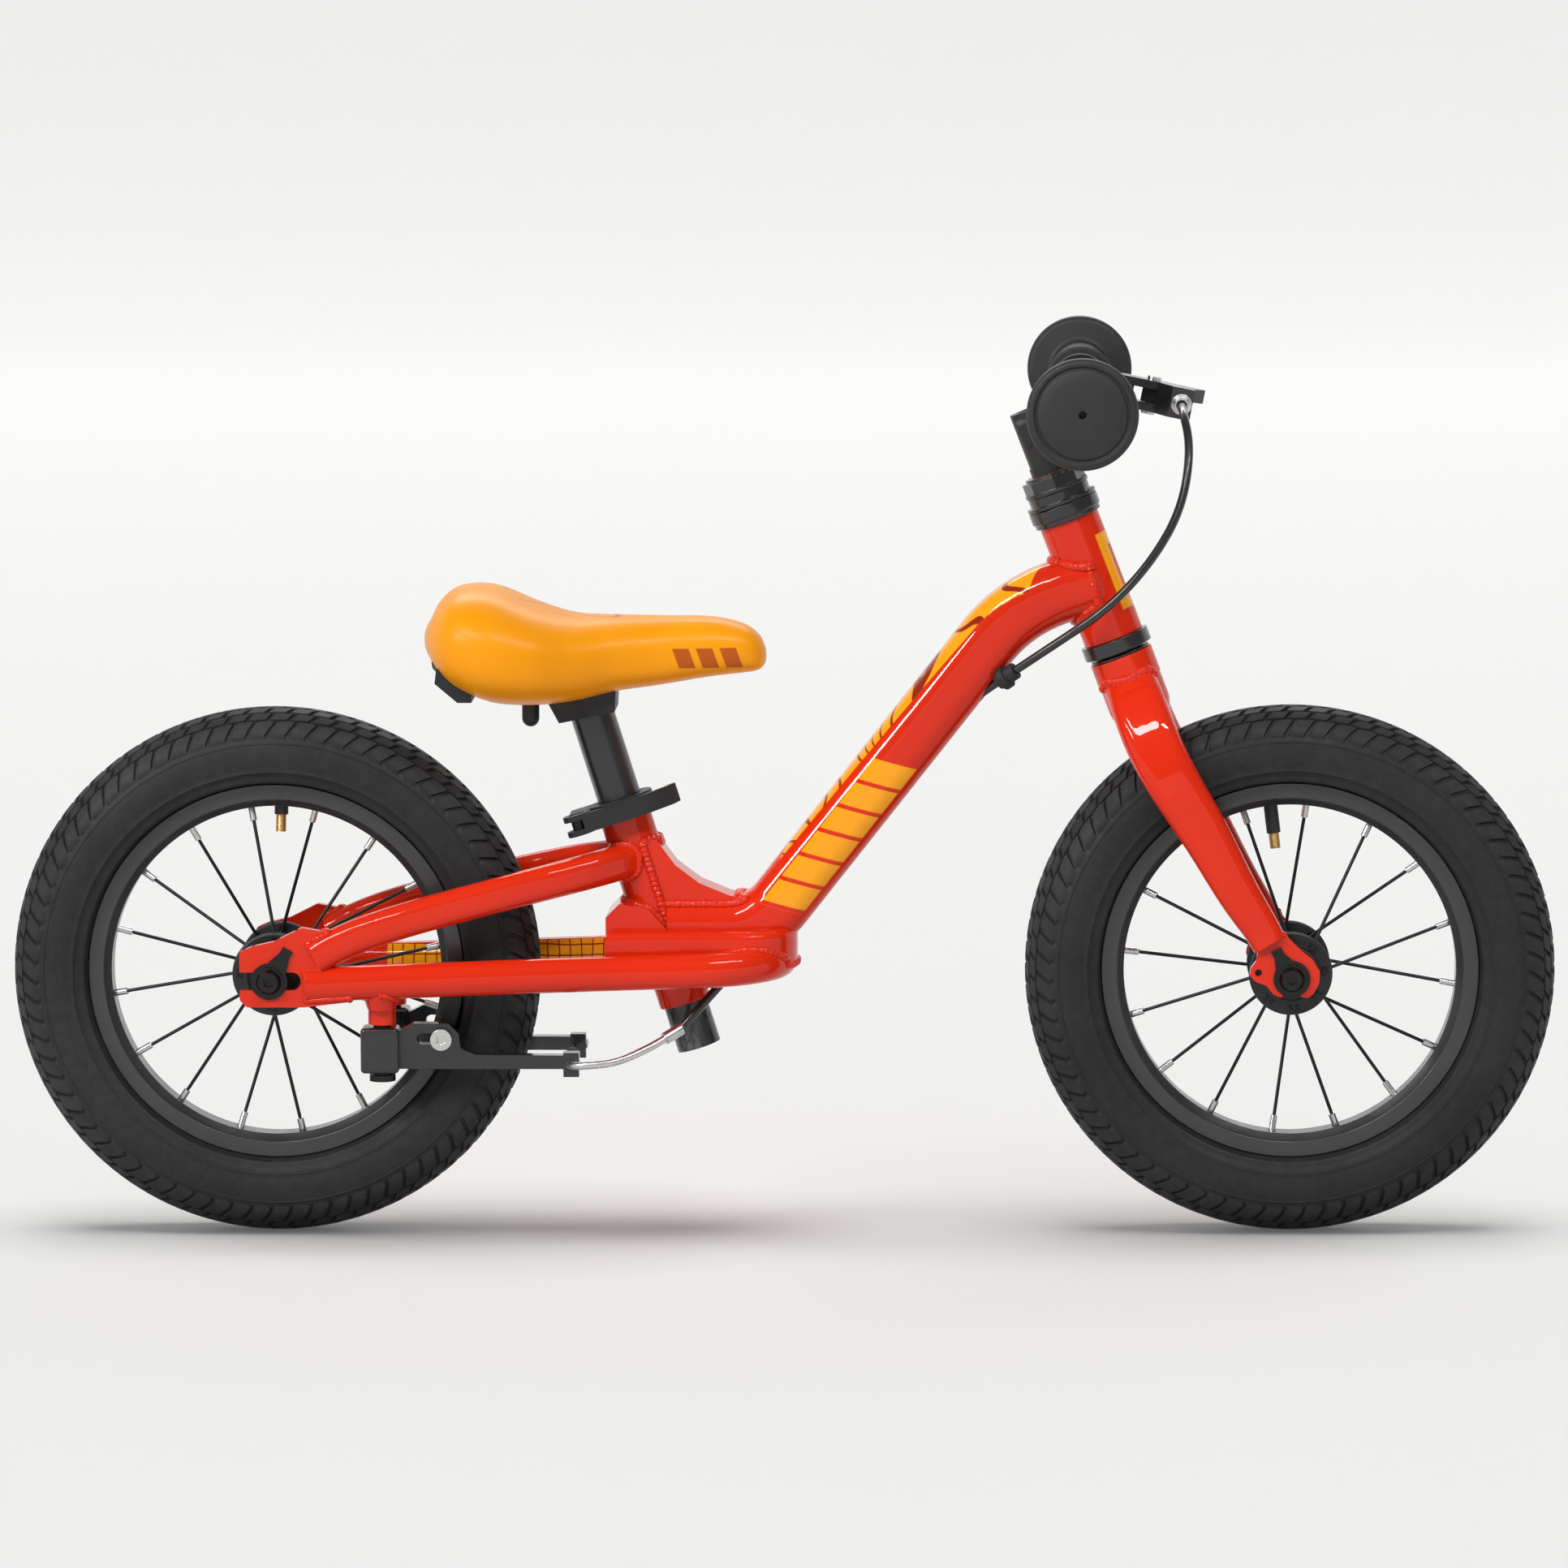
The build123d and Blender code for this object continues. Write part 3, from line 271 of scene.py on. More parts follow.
def post_black():
    """Black lacquered tube whose lower end is scratched by the clamp and scuffs."""
    s = Shader("post_black", (0.013, 0.013, 0.014), 0.32, 0.1, Coat_Weight=0.4, Coat_Roughness=0.1)
    x, y, z = s.xyz()
    low = s.math("SUBTRACT", 1.0, s.above(z, 0.124, 0.012))
    streak = s.noise(170.0, 5.0, 0.7, (1.0, 1.0, 0.35))
    scuff = s.mul(s.above(streak, 0.56, 0.04), low)
    fine = s.mul(s.above(s.noise(620.0, 4.0, 0.7, (1.0, 1.0, 0.2)), 0.66, 0.03), 0.25)
    wear = s.math("MAXIMUM", scuff, s.mul(fine, 0.5))
    s.colour(s.mix(wear, (0.013, 0.013, 0.014), (0.10, 0.105, 0.115)))
    s.roughness(s.remap(wear, 0.0, 1.0, 0.28, 0.6))
    s.bump(s.noise(300.0, 3.0), 0.05, 0.0003)
    return s.mat


def bare_steel(name, shade, roughness, warm=1.0):
    s = Shader(name, (shade, shade * warm, shade * warm * warm), roughness, 1.0)
    brush = s.noise(900.0, 3.0, 0.6, (1.0, 0.08, 1.0))
    value = s.remap(brush, 0.3, 0.7, shade * 0.82, shade * 1.12)
    s.colour(s.node("ShaderNodeCombineColor", i0=value, i1=s.mul(value, warm), i2=s.mul(value, warm * warm)))
    s.roughness(s.remap(s.noise(120.0, 4.0), 0.3, 0.7, roughness - 0.06, roughness + 0.1))
    s.bump(brush, 0.08, 0.0001)
    return s.mat


def rubber(name, shade, roughness, grain_scale, grain, coat=0.0):
    s = Shader(name, (shade, shade, shade), roughness, 0.0, Specular_IOR_Level=0.38, Coat_Weight=coat,
               Coat_Roughness=0.15)
    cloud = s.remap(s.noise(16.0, 5.0, 0.6), 0.3, 0.7, 0.82, 1.22)
    speck = s.remap(s.noise(1100.0, 2.0), 0.35, 0.65, 0.9, 1.1)
    value = s.mul(s.mul(cloud, speck), shade)
    s.colour(s.node("ShaderNodeCombineColor", i0=value, i1=value, i2=s.mul(value, 1.03)))
    s.roughness(s.remap(s.noise(35.0, 4.0), 0.3, 0.7, roughness - 0.07, roughness + 0.09))
    s.bump(s.noise(grain_scale, 3.0), grain, 0.0002)
    return s.mat


def valve_look(name, centre, tip_radius):
    """Black moulded rubber stem with a threaded brass tip nearer the hub."""
    s = Shader(name, (0.013, 0.013, 0.013), 0.45, 0.0, Specular_IOR_Level=0.4)
    x, y, z = s.xyz()
    dx = s.math("SUBTRACT", x, centre.x)
    dz = s.math("SUBTRACT", z, centre.z)
    r = s.math("SQRT", s.add(s.mul(dx, dx), s.mul(dz, dz)))
    tip = s.math("SUBTRACT", 1.0, s.above(r, tip_radius, 0.0001))
    thread = s.remap(s.math("SINE", s.mul(r, 2 * math.pi / 0.0008)), -1, 1, 0.0, 1.0)
    brass = s.mix(thread, (0.50, 0.30, 0.10), (0.72, 0.48, 0.20))
    mottle = s.mix(s.noise(400.0, 3.0), (0.010, 0.010, 0.010), (0.018, 0.018, 0.018))
    s.colour(s.mix(tip, mottle, brass))
    s.put(s.bsdf.inputs["Metallic"], tip)
    s.roughness(s.remap(tip, 0, 1, 0.46, 0.28))
    s.bump(s.mul(thread, tip), 0.6, 0.0002)
    return s.mat


def pad_look():
    """A rubber brake block whose bolt, washers and nut are bright zinc plate."""
    s = Shader("brake_pad", (0.016, 0.016, 0.016), 0.6, 0.0, Specular_IOR_Level=0.4)
    x, y, z = s.xyz()
    out = s.above(s.math("ABSOLUTE", y), 0.0236, 0.0001)
    rubber_tone = s.mix(s.noise(500.0, 3.0), (0.012, 0.012, 0.012), (0.022, 0.022, 0.022))
    brush = s.noise(900.0, 3.0, 0.6, (1.0, 0.1, 1.0))
    s.colour(s.mix(out, rubber_tone, s.mix(brush, (0.50, 0.50, 0.50), (0.74, 0.74, 0.73))))
    s.put(s.bsdf.inputs["Metallic"], out)
    s.roughness(s.remap(out, 0, 1, 0.62, 0.26))
    s.bump(s.noise(900.0, 3.0), 0.12, 0.0002)
    return s.mat


def tyre_rubber(name, centre):
    """Rubber whose sidewall has fine moulded rings and a duller, dustier tread."""
    s = Shader(name, (0.017, 0.017, 0.018), 0.62, 0.0, Specular_IOR_Level=0.24)
    x, y, z = s.xyz()
    dx = s.math("SUBTRACT", x, centre.x)
    dz = s.math("SUBTRACT", z, centre.z)
    r = s.math("SQRT", s.add(s.mul(dx, dx), s.mul(dz, dz)))
    angle = s.math("ARCTAN2", dz, dx)
    tread = s.above(r, 0.1385, 0.0025)
    rings = s.math("SINE", s.mul(r, 2 * math.pi / 0.0011))
    moulded = s.mul(s.remap(rings, -1, 1, 0.0, 1.0), s.math("SUBTRACT", 1.0, tread))
    spoke_marks = s.math("SINE", s.mul(angle, 220.0))
    cloud = s.remap(s.noise(14.0, 5.0, 0.62), 0.3, 0.7, 0.8, 1.25)
    dust = s.remap(s.noise(160.0, 5.0, 0.7), 0.35, 0.75, 0.85, 1.35)
    value = s.mul(s.mul(cloud, dust), s.remap(tread, 0, 1, 0.0165, 0.0200))
    s.colour(s.node("ShaderNodeCombineColor", i0=value, i1=value, i2=s.mul(value, 1.05)))
    s.roughness(s.remap(s.noise(22.0, 4.0), 0.3, 0.7, 0.50, 0.68))
    s.bump(s.noise(1300.0, 3.0), 0.22, 0.0002)
    s.bump(s.add(moulded, s.mul(spoke_marks, 0.06)), 0.10, 0.0002)
    return s.mat


def vinyl():
    """Smooth orange vinyl with a fine leather grain and a generic printed side motif."""
    s = Shader("saddle_vinyl", (0.78, 0.285, 0.003), 0.42, 0.0, Specular_IOR_Level=0.12, Coat_Weight=0.10,
               Coat_Roughness=0.25)
    x, y, z = s.xyz()
    drift = s.remap(s.noise(9.0, 3.0), 0.3, 0.7, 0.0, 1.0)
    base = s.mix(drift, (0.79, 0.296, 0.003), (0.73, 0.262, 0.002))
    # three slanted bars near the nose, on both sides
    slant = s.add(x, s.mul(z, 0.35))
    step = s.math("FRACT", s.mul(s.math("SUBTRACT", slant, 0.0535), 1 / 0.0135))
    bars = s.mul(s.above(step, 0.30, 0.03), s.between(slant, 0.0535, 0.0940, 0.0003))
    bars = s.mul(bars, s.between(z, 0.3290, 0.3405, 0.0003))
    ny = s.xyz(s.coords.outputs["Normal"])[1]
    bars = s.mul(bars, s.above(s.math("ABSOLUTE", ny), 0.5, 0.03))
    # thin contour lines printed on the saddle's back
    nz = s.xyz(s.coords.outputs["Normal"])[2]
    field = s.math("FRACT", s.mul(s.noise(15.0, 1.0, 0.3), 10.0))
    line = s.mul(s.above(field, 0.0, 0.012), s.math("SUBTRACT", 1.0, s.above(field, 0.075, 0.012)))
    line = s.mul(line, s.above(nz, 0.80, 0.03))
    line = s.mul(line, s.between(x, -0.150, -0.055, 0.001))
    line = s.mul(line, s.math("SUBTRACT", 1.0, s.above(s.math("ABSOLUTE", y), 0.017, 0.0005)))
    colour = s.mix(s.mul(bars, 0.9), base, (0.36, 0.055, 0.006))
    s.colour(s.mix(s.mul(line, 0.75), colour, (0.42, 0.075, 0.006)))
    s.roughness(s.remap(s.noise(30.0, 4.0), 0.3, 0.7, 0.33, 0.45))
    grain = s.node("ShaderNodeTexVoronoi", out=0, props={"feature": "DISTANCE_TO_EDGE"}, Vector=s.position(),
                   Scale=900.0)
    s.bump(grain, 0.10, 0.0002)
    s.bump(s.noise(14.0, 3.0), 0.12, 0.002)
    return s.mat


FLOOR_LIGHT = 0.37
SUN_SHARE = 1.44            # the sun gives the floor a little more than the wall glows
FLOOR_GLOW = 0.075


def floor_material():
    """A pale sweep that is lit from above and glows a little where it curves up, so it stays even."""
    s = Shader("studio_floor", (0.84, 0.84, 0.833), 0.75, 0.0, Specular_IOR_Level=0.0)
    s.colour(s.mix(s.noise(3.0, 3.0), (0.845, 0.845, 0.838), (0.835, 0.835, 0.828)))
    up = s.xyz(s.coords.outputs["Normal"])[2]
    s.bsdf.inputs["Emission Color"].default_value = (1.0, 1.0, 0.995, 1)
    s.put(s.bsdf.inputs["Emission Strength"], s.remap(up, 0.0, 1.0, FLOOR_GLOW + FLOOR_LIGHT, FLOOR_GLOW))
    return s.mat


# ------------------------------------------------------------------ mesh helpers
def make_object(name, verts, faces, material, body=None, smooth=True, sharp=None):
    mesh = bpy.data.meshes.new(name)
    mesh.from_pydata([tuple(v) for v in verts], [], faces)
    mesh.validate()
    mesh.update()
    if smooth:
        mesh.polygons.foreach_set("use_smooth", [True] * len(mesh.polygons))
    if sharp:
        mesh.set_sharp_from_angle(angle=math.radians(sharp))
    obj = bpy.data.objects.new(name, mesh)
    bpy.context.scene.collection.objects.link(obj)
    mesh.materials.append(material)
    if body:
        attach(obj, body)
    return obj


def grid_faces(rows, cols, close_rows=False, close_cols=True):
    faces = []
    for i in range(rows if close_rows else rows - 1):
        a = i * cols
        b = ((i + 1) % rows) * cols
        for j in range(cols if close_cols else cols - 1):
            k = (j + 1) % cols
            faces.append((a + j, b + j, b + k, a + k))
    return faces


def spline_rows(stations, steps):
    """Catmull-Rom through rows of numbers."""
    pts = np.array(stations, float)
    pts = np.vstack([2 * pts[0] - pts[1], pts, 2 * pts[-1] - pts[-2]])
    out = []
    for i in range(1, len(pts) - 2):
        p0, p1, p2, p3 = pts[i - 1 : i + 3]
        for t in np.arange(steps) / steps:
            out.append(0.5 * (2 * p1 + (p2 - p0) * t + (2 * p0 - 5 * p1 + 4 * p2 - p3) * t**2
                              + (3 * p1 - p0 - 3 * p2 + p3) * t**3))
    out.append(pts[-2])
    return np.array(out)


def revolve_y(name, profile, centre, material, body, segments=96, sharp=40):
    """A turned piece about Y from (radius, y) points in metres; the profile may start and end on the axis."""
    verts = []
    for r, y in profile:
        for k in range(segments):
            a = 2 * math.pi * k / segments
            verts.append((centre.x + r * math.cos(a), centre.y + y, centre.z + r * math.sin(a)))
    faces = grid_faces(len(profile), segments)
    return make_object(name, verts, faces, material, body, sharp=sharp)


def round_profile(points, radius, steps=4):
    """A (radius, y) outline with its inner corners rounded."""
    pts = [Vector(p) for p in points]
    out = [tuple(pts[0])]
    for before, here, after in zip(pts, pts[1:], pts[2:]):
        a = (before - here)
        b = (after - here)
        cut = min(radius, a.length * 0.45, b.length * 0.45)
        p = here + a.normalized() * cut
        q = here + b.normalized() * cut
        for i in range(steps + 1):
            t = i / steps
            out.append(tuple((1 - t) ** 2 * p + 2 * t * (1 - t) * here + t**2 * q))
    out.append(tuple(pts[-1]))
    return out


def frames_along(points, closed):
    pts = [Vector(p) for p in points]
    n = len(pts)
    tangents = []
    for i in range(n):
        a = pts[(i - 1) % n] if closed or i > 0 else pts[0]
        b = pts[(i + 1) % n] if closed or i < n - 1 else pts[-1]
        tangents.append((b - a).normalized())
    side = tangents[0].orthogonal().normalized()
    frames = []
    for p, t in zip(pts, tangents):
        side = (side - t * side.dot(t)).normalized()
        frames.append((p, t, side, t.cross(side)))
    return frames


def resample(points, step, closed):
    pts = np.array([tuple(p) for p in points])
    if closed:
        pts = np.vstack([pts, pts[:1]])
    seg = np.linalg.norm(np.diff(pts, axis=0), axis=1)
    s = np.concatenate([[0], np.cumsum(seg)])
    count = max(4, int(round(s[-1] / step)))
    where = np.linspace(0, s[-1], count, endpoint=not closed)
    out = np.stack([np.interp(where, s, pts[:, k]) for k in range(3)], axis=1)
    for _ in range(3):
        if closed:
            out = 0.5 * out + 0.25 * (np.roll(out, 1, 0) + np.roll(out, -1, 0))
        else:
            out[1:-1] = 0.5 * out[1:-1] + 0.25 * (out[:-2] + out[2:])
    return out, s[-1]


def bead(name, points, closed, radius, material, body, pitch=0.0030):
    """A weld seam: a round bead of overlapping ripples along a joint line."""
    step = pitch / 5
    pts, length = resample(points, step, closed)
    ripples = max(1, round(length / pitch))
    verts = []
    frames = frames_along(pts, closed)
    sides = 12
    for i, (p, t, u, v) in enumerate(frames):
        phase = (i / len(frames) * ripples) % 1.0
        r = radius * (0.70 + 0.36 * math.sqrt(max(0.0, 1 - phase**2)))
        wobble = 1 + 0.05 * math.sin(i * 0.73) + 0.04 * math.sin(i * 0.31 + 1.7)
        if not closed:
            end = min(i, len(frames) - 1 - i) * step / (radius * 1.2)
            r *= math.sqrt(min(1.0, end)) + 0.02
        for k in range(sides):
            a = 2 * math.pi * k / sides
            verts.append(p + (u * math.cos(a) + v * math.sin(a)) * r * wobble)
    faces = grid_faces(len(frames), sides, close_rows=closed)
    if not closed:
        faces.append(tuple(range(sides))[::-1])
        last = (len(frames) - 1) * sides
        faces.append(tuple(last + k for k in range(sides)))
    return make_object(name, verts, faces, material, body, sharp=60)


def joint_lines(node, other, reach=0.00025, least=0.02):
    """The outlines where one CAD node's end meets another node's surface."""
    bm = bmesh.new()
    bm.from_mesh(frame["nodes"][node].data)
    bmesh.ops.remove_doubles(bm, verts=bm.verts, dist=0.00002)
    target = bmesh.new()
    target.from_mesh(frame["nodes"][other].data)
    tree = BVHTree.FromBMesh(target)
    near = {v for v in bm.verts if tree.find_nearest(v.co, reach)[0] is not None}
    edges = []
    for e in bm.edges:
        if e.verts[0] in near and e.verts[1] in near and len(e.link_faces) == 2:
            if e.calc_face_angle(0.0) > math.radians(22):
                edges.append(e)
    links = {}
    for e in edges:
        a, b = e.verts
        links.setdefault(a, []).append(b)
        links.setdefault(b, []).append(a)
    seen = set()
    chains = []
    starts = [v for v in links if len(links[v]) == 1] + list(links)
    for start in starts:
        if start in seen:
            continue
        chain = [start]
        seen.add(start)
        while True:
            options = [v for v in links[chain[-1]] if v not in seen]
            if not options:
                break
            chain.append(options[0])
            seen.add(options[0])
        closed = len(chain) > 4 and chain[0] in links[chain[-1]]
        points = [v.co.copy() for v in chain]
        length = sum((a - b).length for a, b in zip(points, points[1:]))
        if length > least:
            chains.append((length, closed, points))
    bm.free()
    target.free()
    return sorted(chains, key=lambda c: -c[0])


def tube_along(name, points, radius, material, sides=16, body=None):
    """A smooth round tube on a spline whose control points are given."""
    curve = bpy.data.curves.new(name, "CURVE")
    curve.dimensions = "3D"
    curve.resolution_u = 24
    spline = curve.splines.new("NURBS")
    spline.points.add(len(points) - 1)
    for q, p in zip(spline.points, points):
        q.co = (*p, 1)
    spline.order_u = 3
    spline.use_endpoint_u = True
    line = bpy.data.objects.new(name + "_line", curve)
    bpy.context.scene.collection.objects.link(line)
    bpy.context.view_layer.update()
    path = bpy.data.meshes.new_from_object(line.evaluated_get(bpy.context.evaluated_depsgraph_get()))
    pts = [v.co.copy() for v in path.vertices]
    bpy.data.objects.remove(line)
    verts = []
    frames = frames_along(pts, False)
    for p, t, u, v in frames:
        for k in range(sides):
            a = 2 * math.pi * k / sides
            verts.append(p + (u * math.cos(a) + v * math.sin(a)) * radius)
    faces = grid_faces(len(frames), sides)
    faces.append(tuple(range(sides))[::-1])
    last = (len(frames) - 1) * sides
    faces.append(tuple(last + k for k in range(sides)))
    return make_object(name, verts, faces, material, body, sharp=50)


# ------------------------------------------------------------------ tyres
PITCHES = 75


def tread_rows():
    """Rows across the tyre: (angle round the section, height, groove share, shift in pitches)."""
    half = []
    blocks = [(0.0, 8.5, 0.00), (11.5, 24.0, 0.46), (27.0, 39.5, 0.02), (42.5, 64.0, 0.50)]
    for low, high, shift in blocks:
        lean = 0.022
        if low > 0:
            half.append((low - 1.1, -1.6, 0.0, shift + lean * low))
            half.append((low, 0.0, 1.0, shift + lean * low))
        half.append(((low + high) / 2, 0.0, 1.0, shift + lean * (low + high) / 2))
        half.append((high, 0.0, 1.0, shift + lean * high))
        if high < 60:
            half.append((high + 1.1, -1.6, 0.0, shift + lean * high))
    half.append((67.5, -0.9, 0.35, half[-1][3]))
    half.append((69.5, -1.1, 0.0, half[-1][3]))
    walls = [(72, -0.9), (74, -0.9), (74.6, -0.5), (75.8, -0.5), (76.4, -0.9), (82, -0.8), (90, -0.7)]
    walls += [(98, -0.6), (106, -0.5), (112, -0.4), (113, 0.0), (115, 0.0), (116, -0.5), (121, -0.7)]
    walls += [(125, -0.4), (127, 0.2), (130, 0.2)]
    half += [(phi, height, 0.0, half[-1][3]) for phi, height in walls]
    return half


def tyre(name, centre, material, body):
    half = tread_rows()
    rows = [(-p, h, g, s) for p, h, g, s in reversed(half)]
    rows += [r for r in half if r[0] > 0]
    columns = [0.0, 0.15, 0.205, 0.45, 0.70, 0.945]
    is_block = [False, False, True, True, True, True]
    depth = 1.7
    verts = []
    for phi, height, groove, shift in rows:
        a = math.radians(phi)
        for k in range(PITCHES):
            for u, block in zip(columns, is_block):
                theta = 2 * math.pi * (k + u + shift) / PITCHES
                h = height - (0.0 if block else depth * groove)
                r = (127.0 + (25.5 + h) * math.cos(a)) * MM
                y = (25.5 + min(h, 0.0)) * math.sin(a) * MM
                verts.append((centre.x + r * math.cos(theta), y, centre.z + r * math.sin(theta)))
    cols = PITCHES * len(columns)
    shift = rows[0][3]
    base = len(rows)
    closing = [(109.3, 14.5), (108.8, 11.2), (106.5, 7.8), (106.5, -7.8), (108.8, -11.2), (109.3, -14.5)]
    for r, y in closing:
        for k in range(PITCHES):
            for u in columns:
                theta = 2 * math.pi * (k + u + shift) / PITCHES
                x, z = r * MM * math.cos(theta), r * MM * math.sin(theta)
                verts.append((centre.x + x, y * MM, centre.z + z))
    faces = grid_faces(base + len(closing), cols, close_rows=True)
    obj = make_object(name, verts, faces, material, body, sharp=38)
    return obj


# ------------------------------------------------------------------ saddle
def saddle(material):
    """The padded cover: crowned across, wide and raised at the back, slim at the nose."""
    stations = [
        # x, half width, top, bottom
        (-205.0, 1, 345.8, 344.8),
        (-204.6, 9, 348.4, 342.2),
        (-203.4, 21, 352, 338.6),
        (-200.6, 34.5, 357, 334),
        (-195.0, 48, 367, 326),
        (-184.0, 60.5, 374.5, 317),
        (-164.0, 65.5, 374.5, 309),
        (-140.0, 61, 365, 307.5),
        (-118.0, 49, 358.5, 309.5),
        (-94.0, 36, 357.5, 314.5),
        (-68.0, 28, 357, 318),
        (-40.0, 24, 356.5, 322.5),
        (-22.0, 20.5, 352.5, 324.5),
        (-13.0, 15.5, 346.5, 326.0),
        (-9.2, 8, 339.5, 329.5),
        (-8.5, 2, 335.5, 332.5),
    ]
    rows = spline_rows(stations, 6)
    sides = 64
    verts = []
    for x, half, top, bottom in rows:
        middle = bottom + 0.44 * (top - bottom)
        for k in range(sides):
            a = 2 * math.pi * k / sides
            c, s = math.cos(a), math.sin(a)
            power = 2.35 if s > 0 else 2.9
            px = math.copysign(abs(c) ** (2 / power), c) * half
            reach = (top - middle) if s > 0 else (middle - bottom)
            pz = middle + math.copysign(abs(s) ** (2 / power), s) * reach
            verts.append((x * MM, px * MM, pz * MM))
    faces = grid_faces(len(rows), sides)
    faces.append(tuple(range(sides))[::-1])
    last = (len(rows) - 1) * sides
    faces.append(tuple(last + k for k in range(sides)))
    obj = make_object("saddle_padded_cover", verts, faces, material)
    sub = obj.modifiers.new("smooth", "SUBSURF")
    sub.levels = 1
    sub.render_levels = 1
    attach(obj, "seat")
    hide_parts("saddle_cover")
    return obj


# ------------------------------------------------------------------ grips
def grip(name, side, material):
    """A ribbed rubber grip with a round bumper on its outer end."""
    length = 108.0
    points = [(11.1, 0.0), (19.0, 0.0), (19.8, 1.6), (19.2, 4.2), (15.8, 6.2)]
    start = 8.0
    while start < length - 22:
        points += [(15.3, start), (16.3, start + 1.0), (16.3, start + 4.0), (15.3, start + 5.0)]
        start += 6.6
    points += [(15.6, length - 17), (18.0, length - 14.5), (29.0, length - 13.0), (31.0, length - 10.8)]
    points += [(31.0, length - 4.4), (29.4, length - 2.2), (26.8, length - 2.0), (26.2, length - 3.2)]
    points += [(25.2, length - 3.2), (24.6, length - 2.2), (20.0, length - 1.0), (12.0, length - 0.2)]
    points += [(2.4, length), (2.0, length - 1.0), (2.0, length - 4.0), (0.02, length - 4.2)]
    profile = [(r * MM, side * (88.0 + y) * MM) for r, y in round_profile(points, 1.3, 3)]
    if side < 0:
        profile = profile[::-1]
    centre = Vector((BAR.x, 0, BAR.z))
    return revolve_y(name, profile, centre, material, "steering", 96, 50)


# ------------------------------------------------------------------ assemble
paint = paint_shader("paint_plain").mat
weld = weld_paint()
satin = black_alloy("satin_black_alloy", 0.014, 0.42)
gloss_black = black_alloy("gloss_black_lacquer", 0.012, 0.25, coat=0.6, grain=0.05)
rim_black = black_alloy("rim_black", 0.034, 0.34, coat=0.35)
coarse = black_alloy("textured_black_nylon", 0.014, 0.5, grain=0.5)
post = post_black()
steel = bare_steel("zinc_steel", 0.62, 0.28)
dark_steel = bare_steel("black_oxide_steel", 0.035, 0.34)
nipple_metal = bare_steel("nickel_plate", 0.60, 0.25)
grip_rubber = rubber("grip_rubber", 0.016, 0.52, 900.0, 0.22)
cable_black = rubber("cable_housing", 0.012, 0.30, 500.0, 0.04, coat=0.5)
pad_rubber = rubber("pad_rubber", 0.016, 0.6, 800.0, 0.2)
saddle_vinyl = vinyl()

LOOKS = {
    "head_tube": head_tube_paint(),
    "main_tube": main_tube_paint(),
    "lower_stay_loop": loop_paint(),
    "seat_post": post,
    "stem": satin,
    "brake_pad_left": pad_look(),
    "brake_pad_right": pad_look(),
}
SHARED_LOOKS = [
    (paint, "frame_gusset seat_tube bottom_yoke upper_stays rear_dropouts brake_bosses"),
    (paint, "fork_crown fork_blades fork_dropouts"),
    (gloss_black, "headset_cups headset_races headset_lock_nut handlebar brake_lever_bracket brake_lever"),
    (gloss_black, "brake_arm_left brake_arm_right"),
    (coarse, "seat_clamp seat_clamp_lever saddle_base"),
    (dark_steel, "seat_clamp_skewer stem_hardware brake_pivot_bolts"),
    (steel, "headset_bearings saddle_bolt lever_pivot_pin cable_adjuster brake_cable_anchor brake_noodle"),
    (pad_rubber, "cable_port brake_inner_wire"),
]
for material, names in SHARED_LOOKS:
    LOOKS.update({node: material for node in names.split()})
for end in ("front", "rear"):
    LOOKS[end + "_rim"] = rim_black
    LOOKS[end + "_hub"] = satin
    LOOKS[end + "_spokes"] = dark_steel
    LOOKS[end + "_nipples"] = nipple_metal
    LOOKS[end + "_bearings"] = dark_steel
    LOOKS[end + "_axle"] = steel
    LOOKS[end + "_axle_hardware"] = dark_steel
LOOKS["front_inner_tube"] = valve_look("front_valve", FRONT_AXLE, 0.079)
LOOKS["rear_inner_tube"] = valve_look("rear_valve", REAR_AXLE, 0.090)

for node_name, obj in frame["nodes"].items():
    material = LOOKS.get(node_name)
    if material:
        obj.data.materials.clear()
        obj.data.materials.append(material)
    fine = node_name.endswith(("_spokes", "_nipples", "_bearings", "_tyre", "_inner_tube"))
    if not fine:
        obj.modifiers.new("join", "WELD").merge_threshold = 0.00001
        bevel = obj.modifiers.new("edge", "BEVEL")
        bevel.width = 0.0005
        bevel.segments = 2
        bevel.limit_method = "ANGLE"
        bevel.angle_limit = math.radians(34)
        bevel.use_clamp_overlap = True
        shade = obj.modifiers.new("shade", "WEIGHTED_NORMAL")
        shade.keep_sharp = False

for end, centre in (("front", FRONT_AXLE), ("rear", REAR_AXLE)):
    look = tyre_rubber(end + "_tyre_rubber", centre)
    obj = tyre(end + "_tyre_tread", centre, look, end + "_wheel")
    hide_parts(end + "_tyre")

saddle(saddle_vinyl)

left = grip("grip_left", 1, grip_rubber)
right = grip("grip_right", -1, grip_rubber)
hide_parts("grips")

# brake housings: smooth tubes on the same listed points as the solids
front_route = [(0.2308, 0.0510, 0.4741), (0.2308, 0.0240, 0.4741), (0.2355, 0.0020, 0.4520),
               (0.2300, -0.0120, 0.4190), (0.2130, -0.0230, 0.3900), (0.1880, -0.0305, 0.3635),
               (0.1585, -0.0280, 0.3435), (0.1280, -0.0145, 0.3220)]
housing = tube_along("housing_front", front_route, 0.0025, cable_black)
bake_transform(housing)
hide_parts("brake_housing_front")
rear_route = [(0.1277, -0.0144, 0.3218), (0.1030, -0.0034, 0.3044), (0.0710, 0.0, 0.2750),
              (0.0380, -0.0010, 0.2340), (0.0050, -0.0060, 0.1920), (-0.0230, -0.0195, 0.1590),
              (-0.0565, -0.0310, 0.1230)]
housing = tube_along("housing_rear", rear_route, 0.0025, cable_black)
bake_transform(housing)
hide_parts("brake_housing_rear")

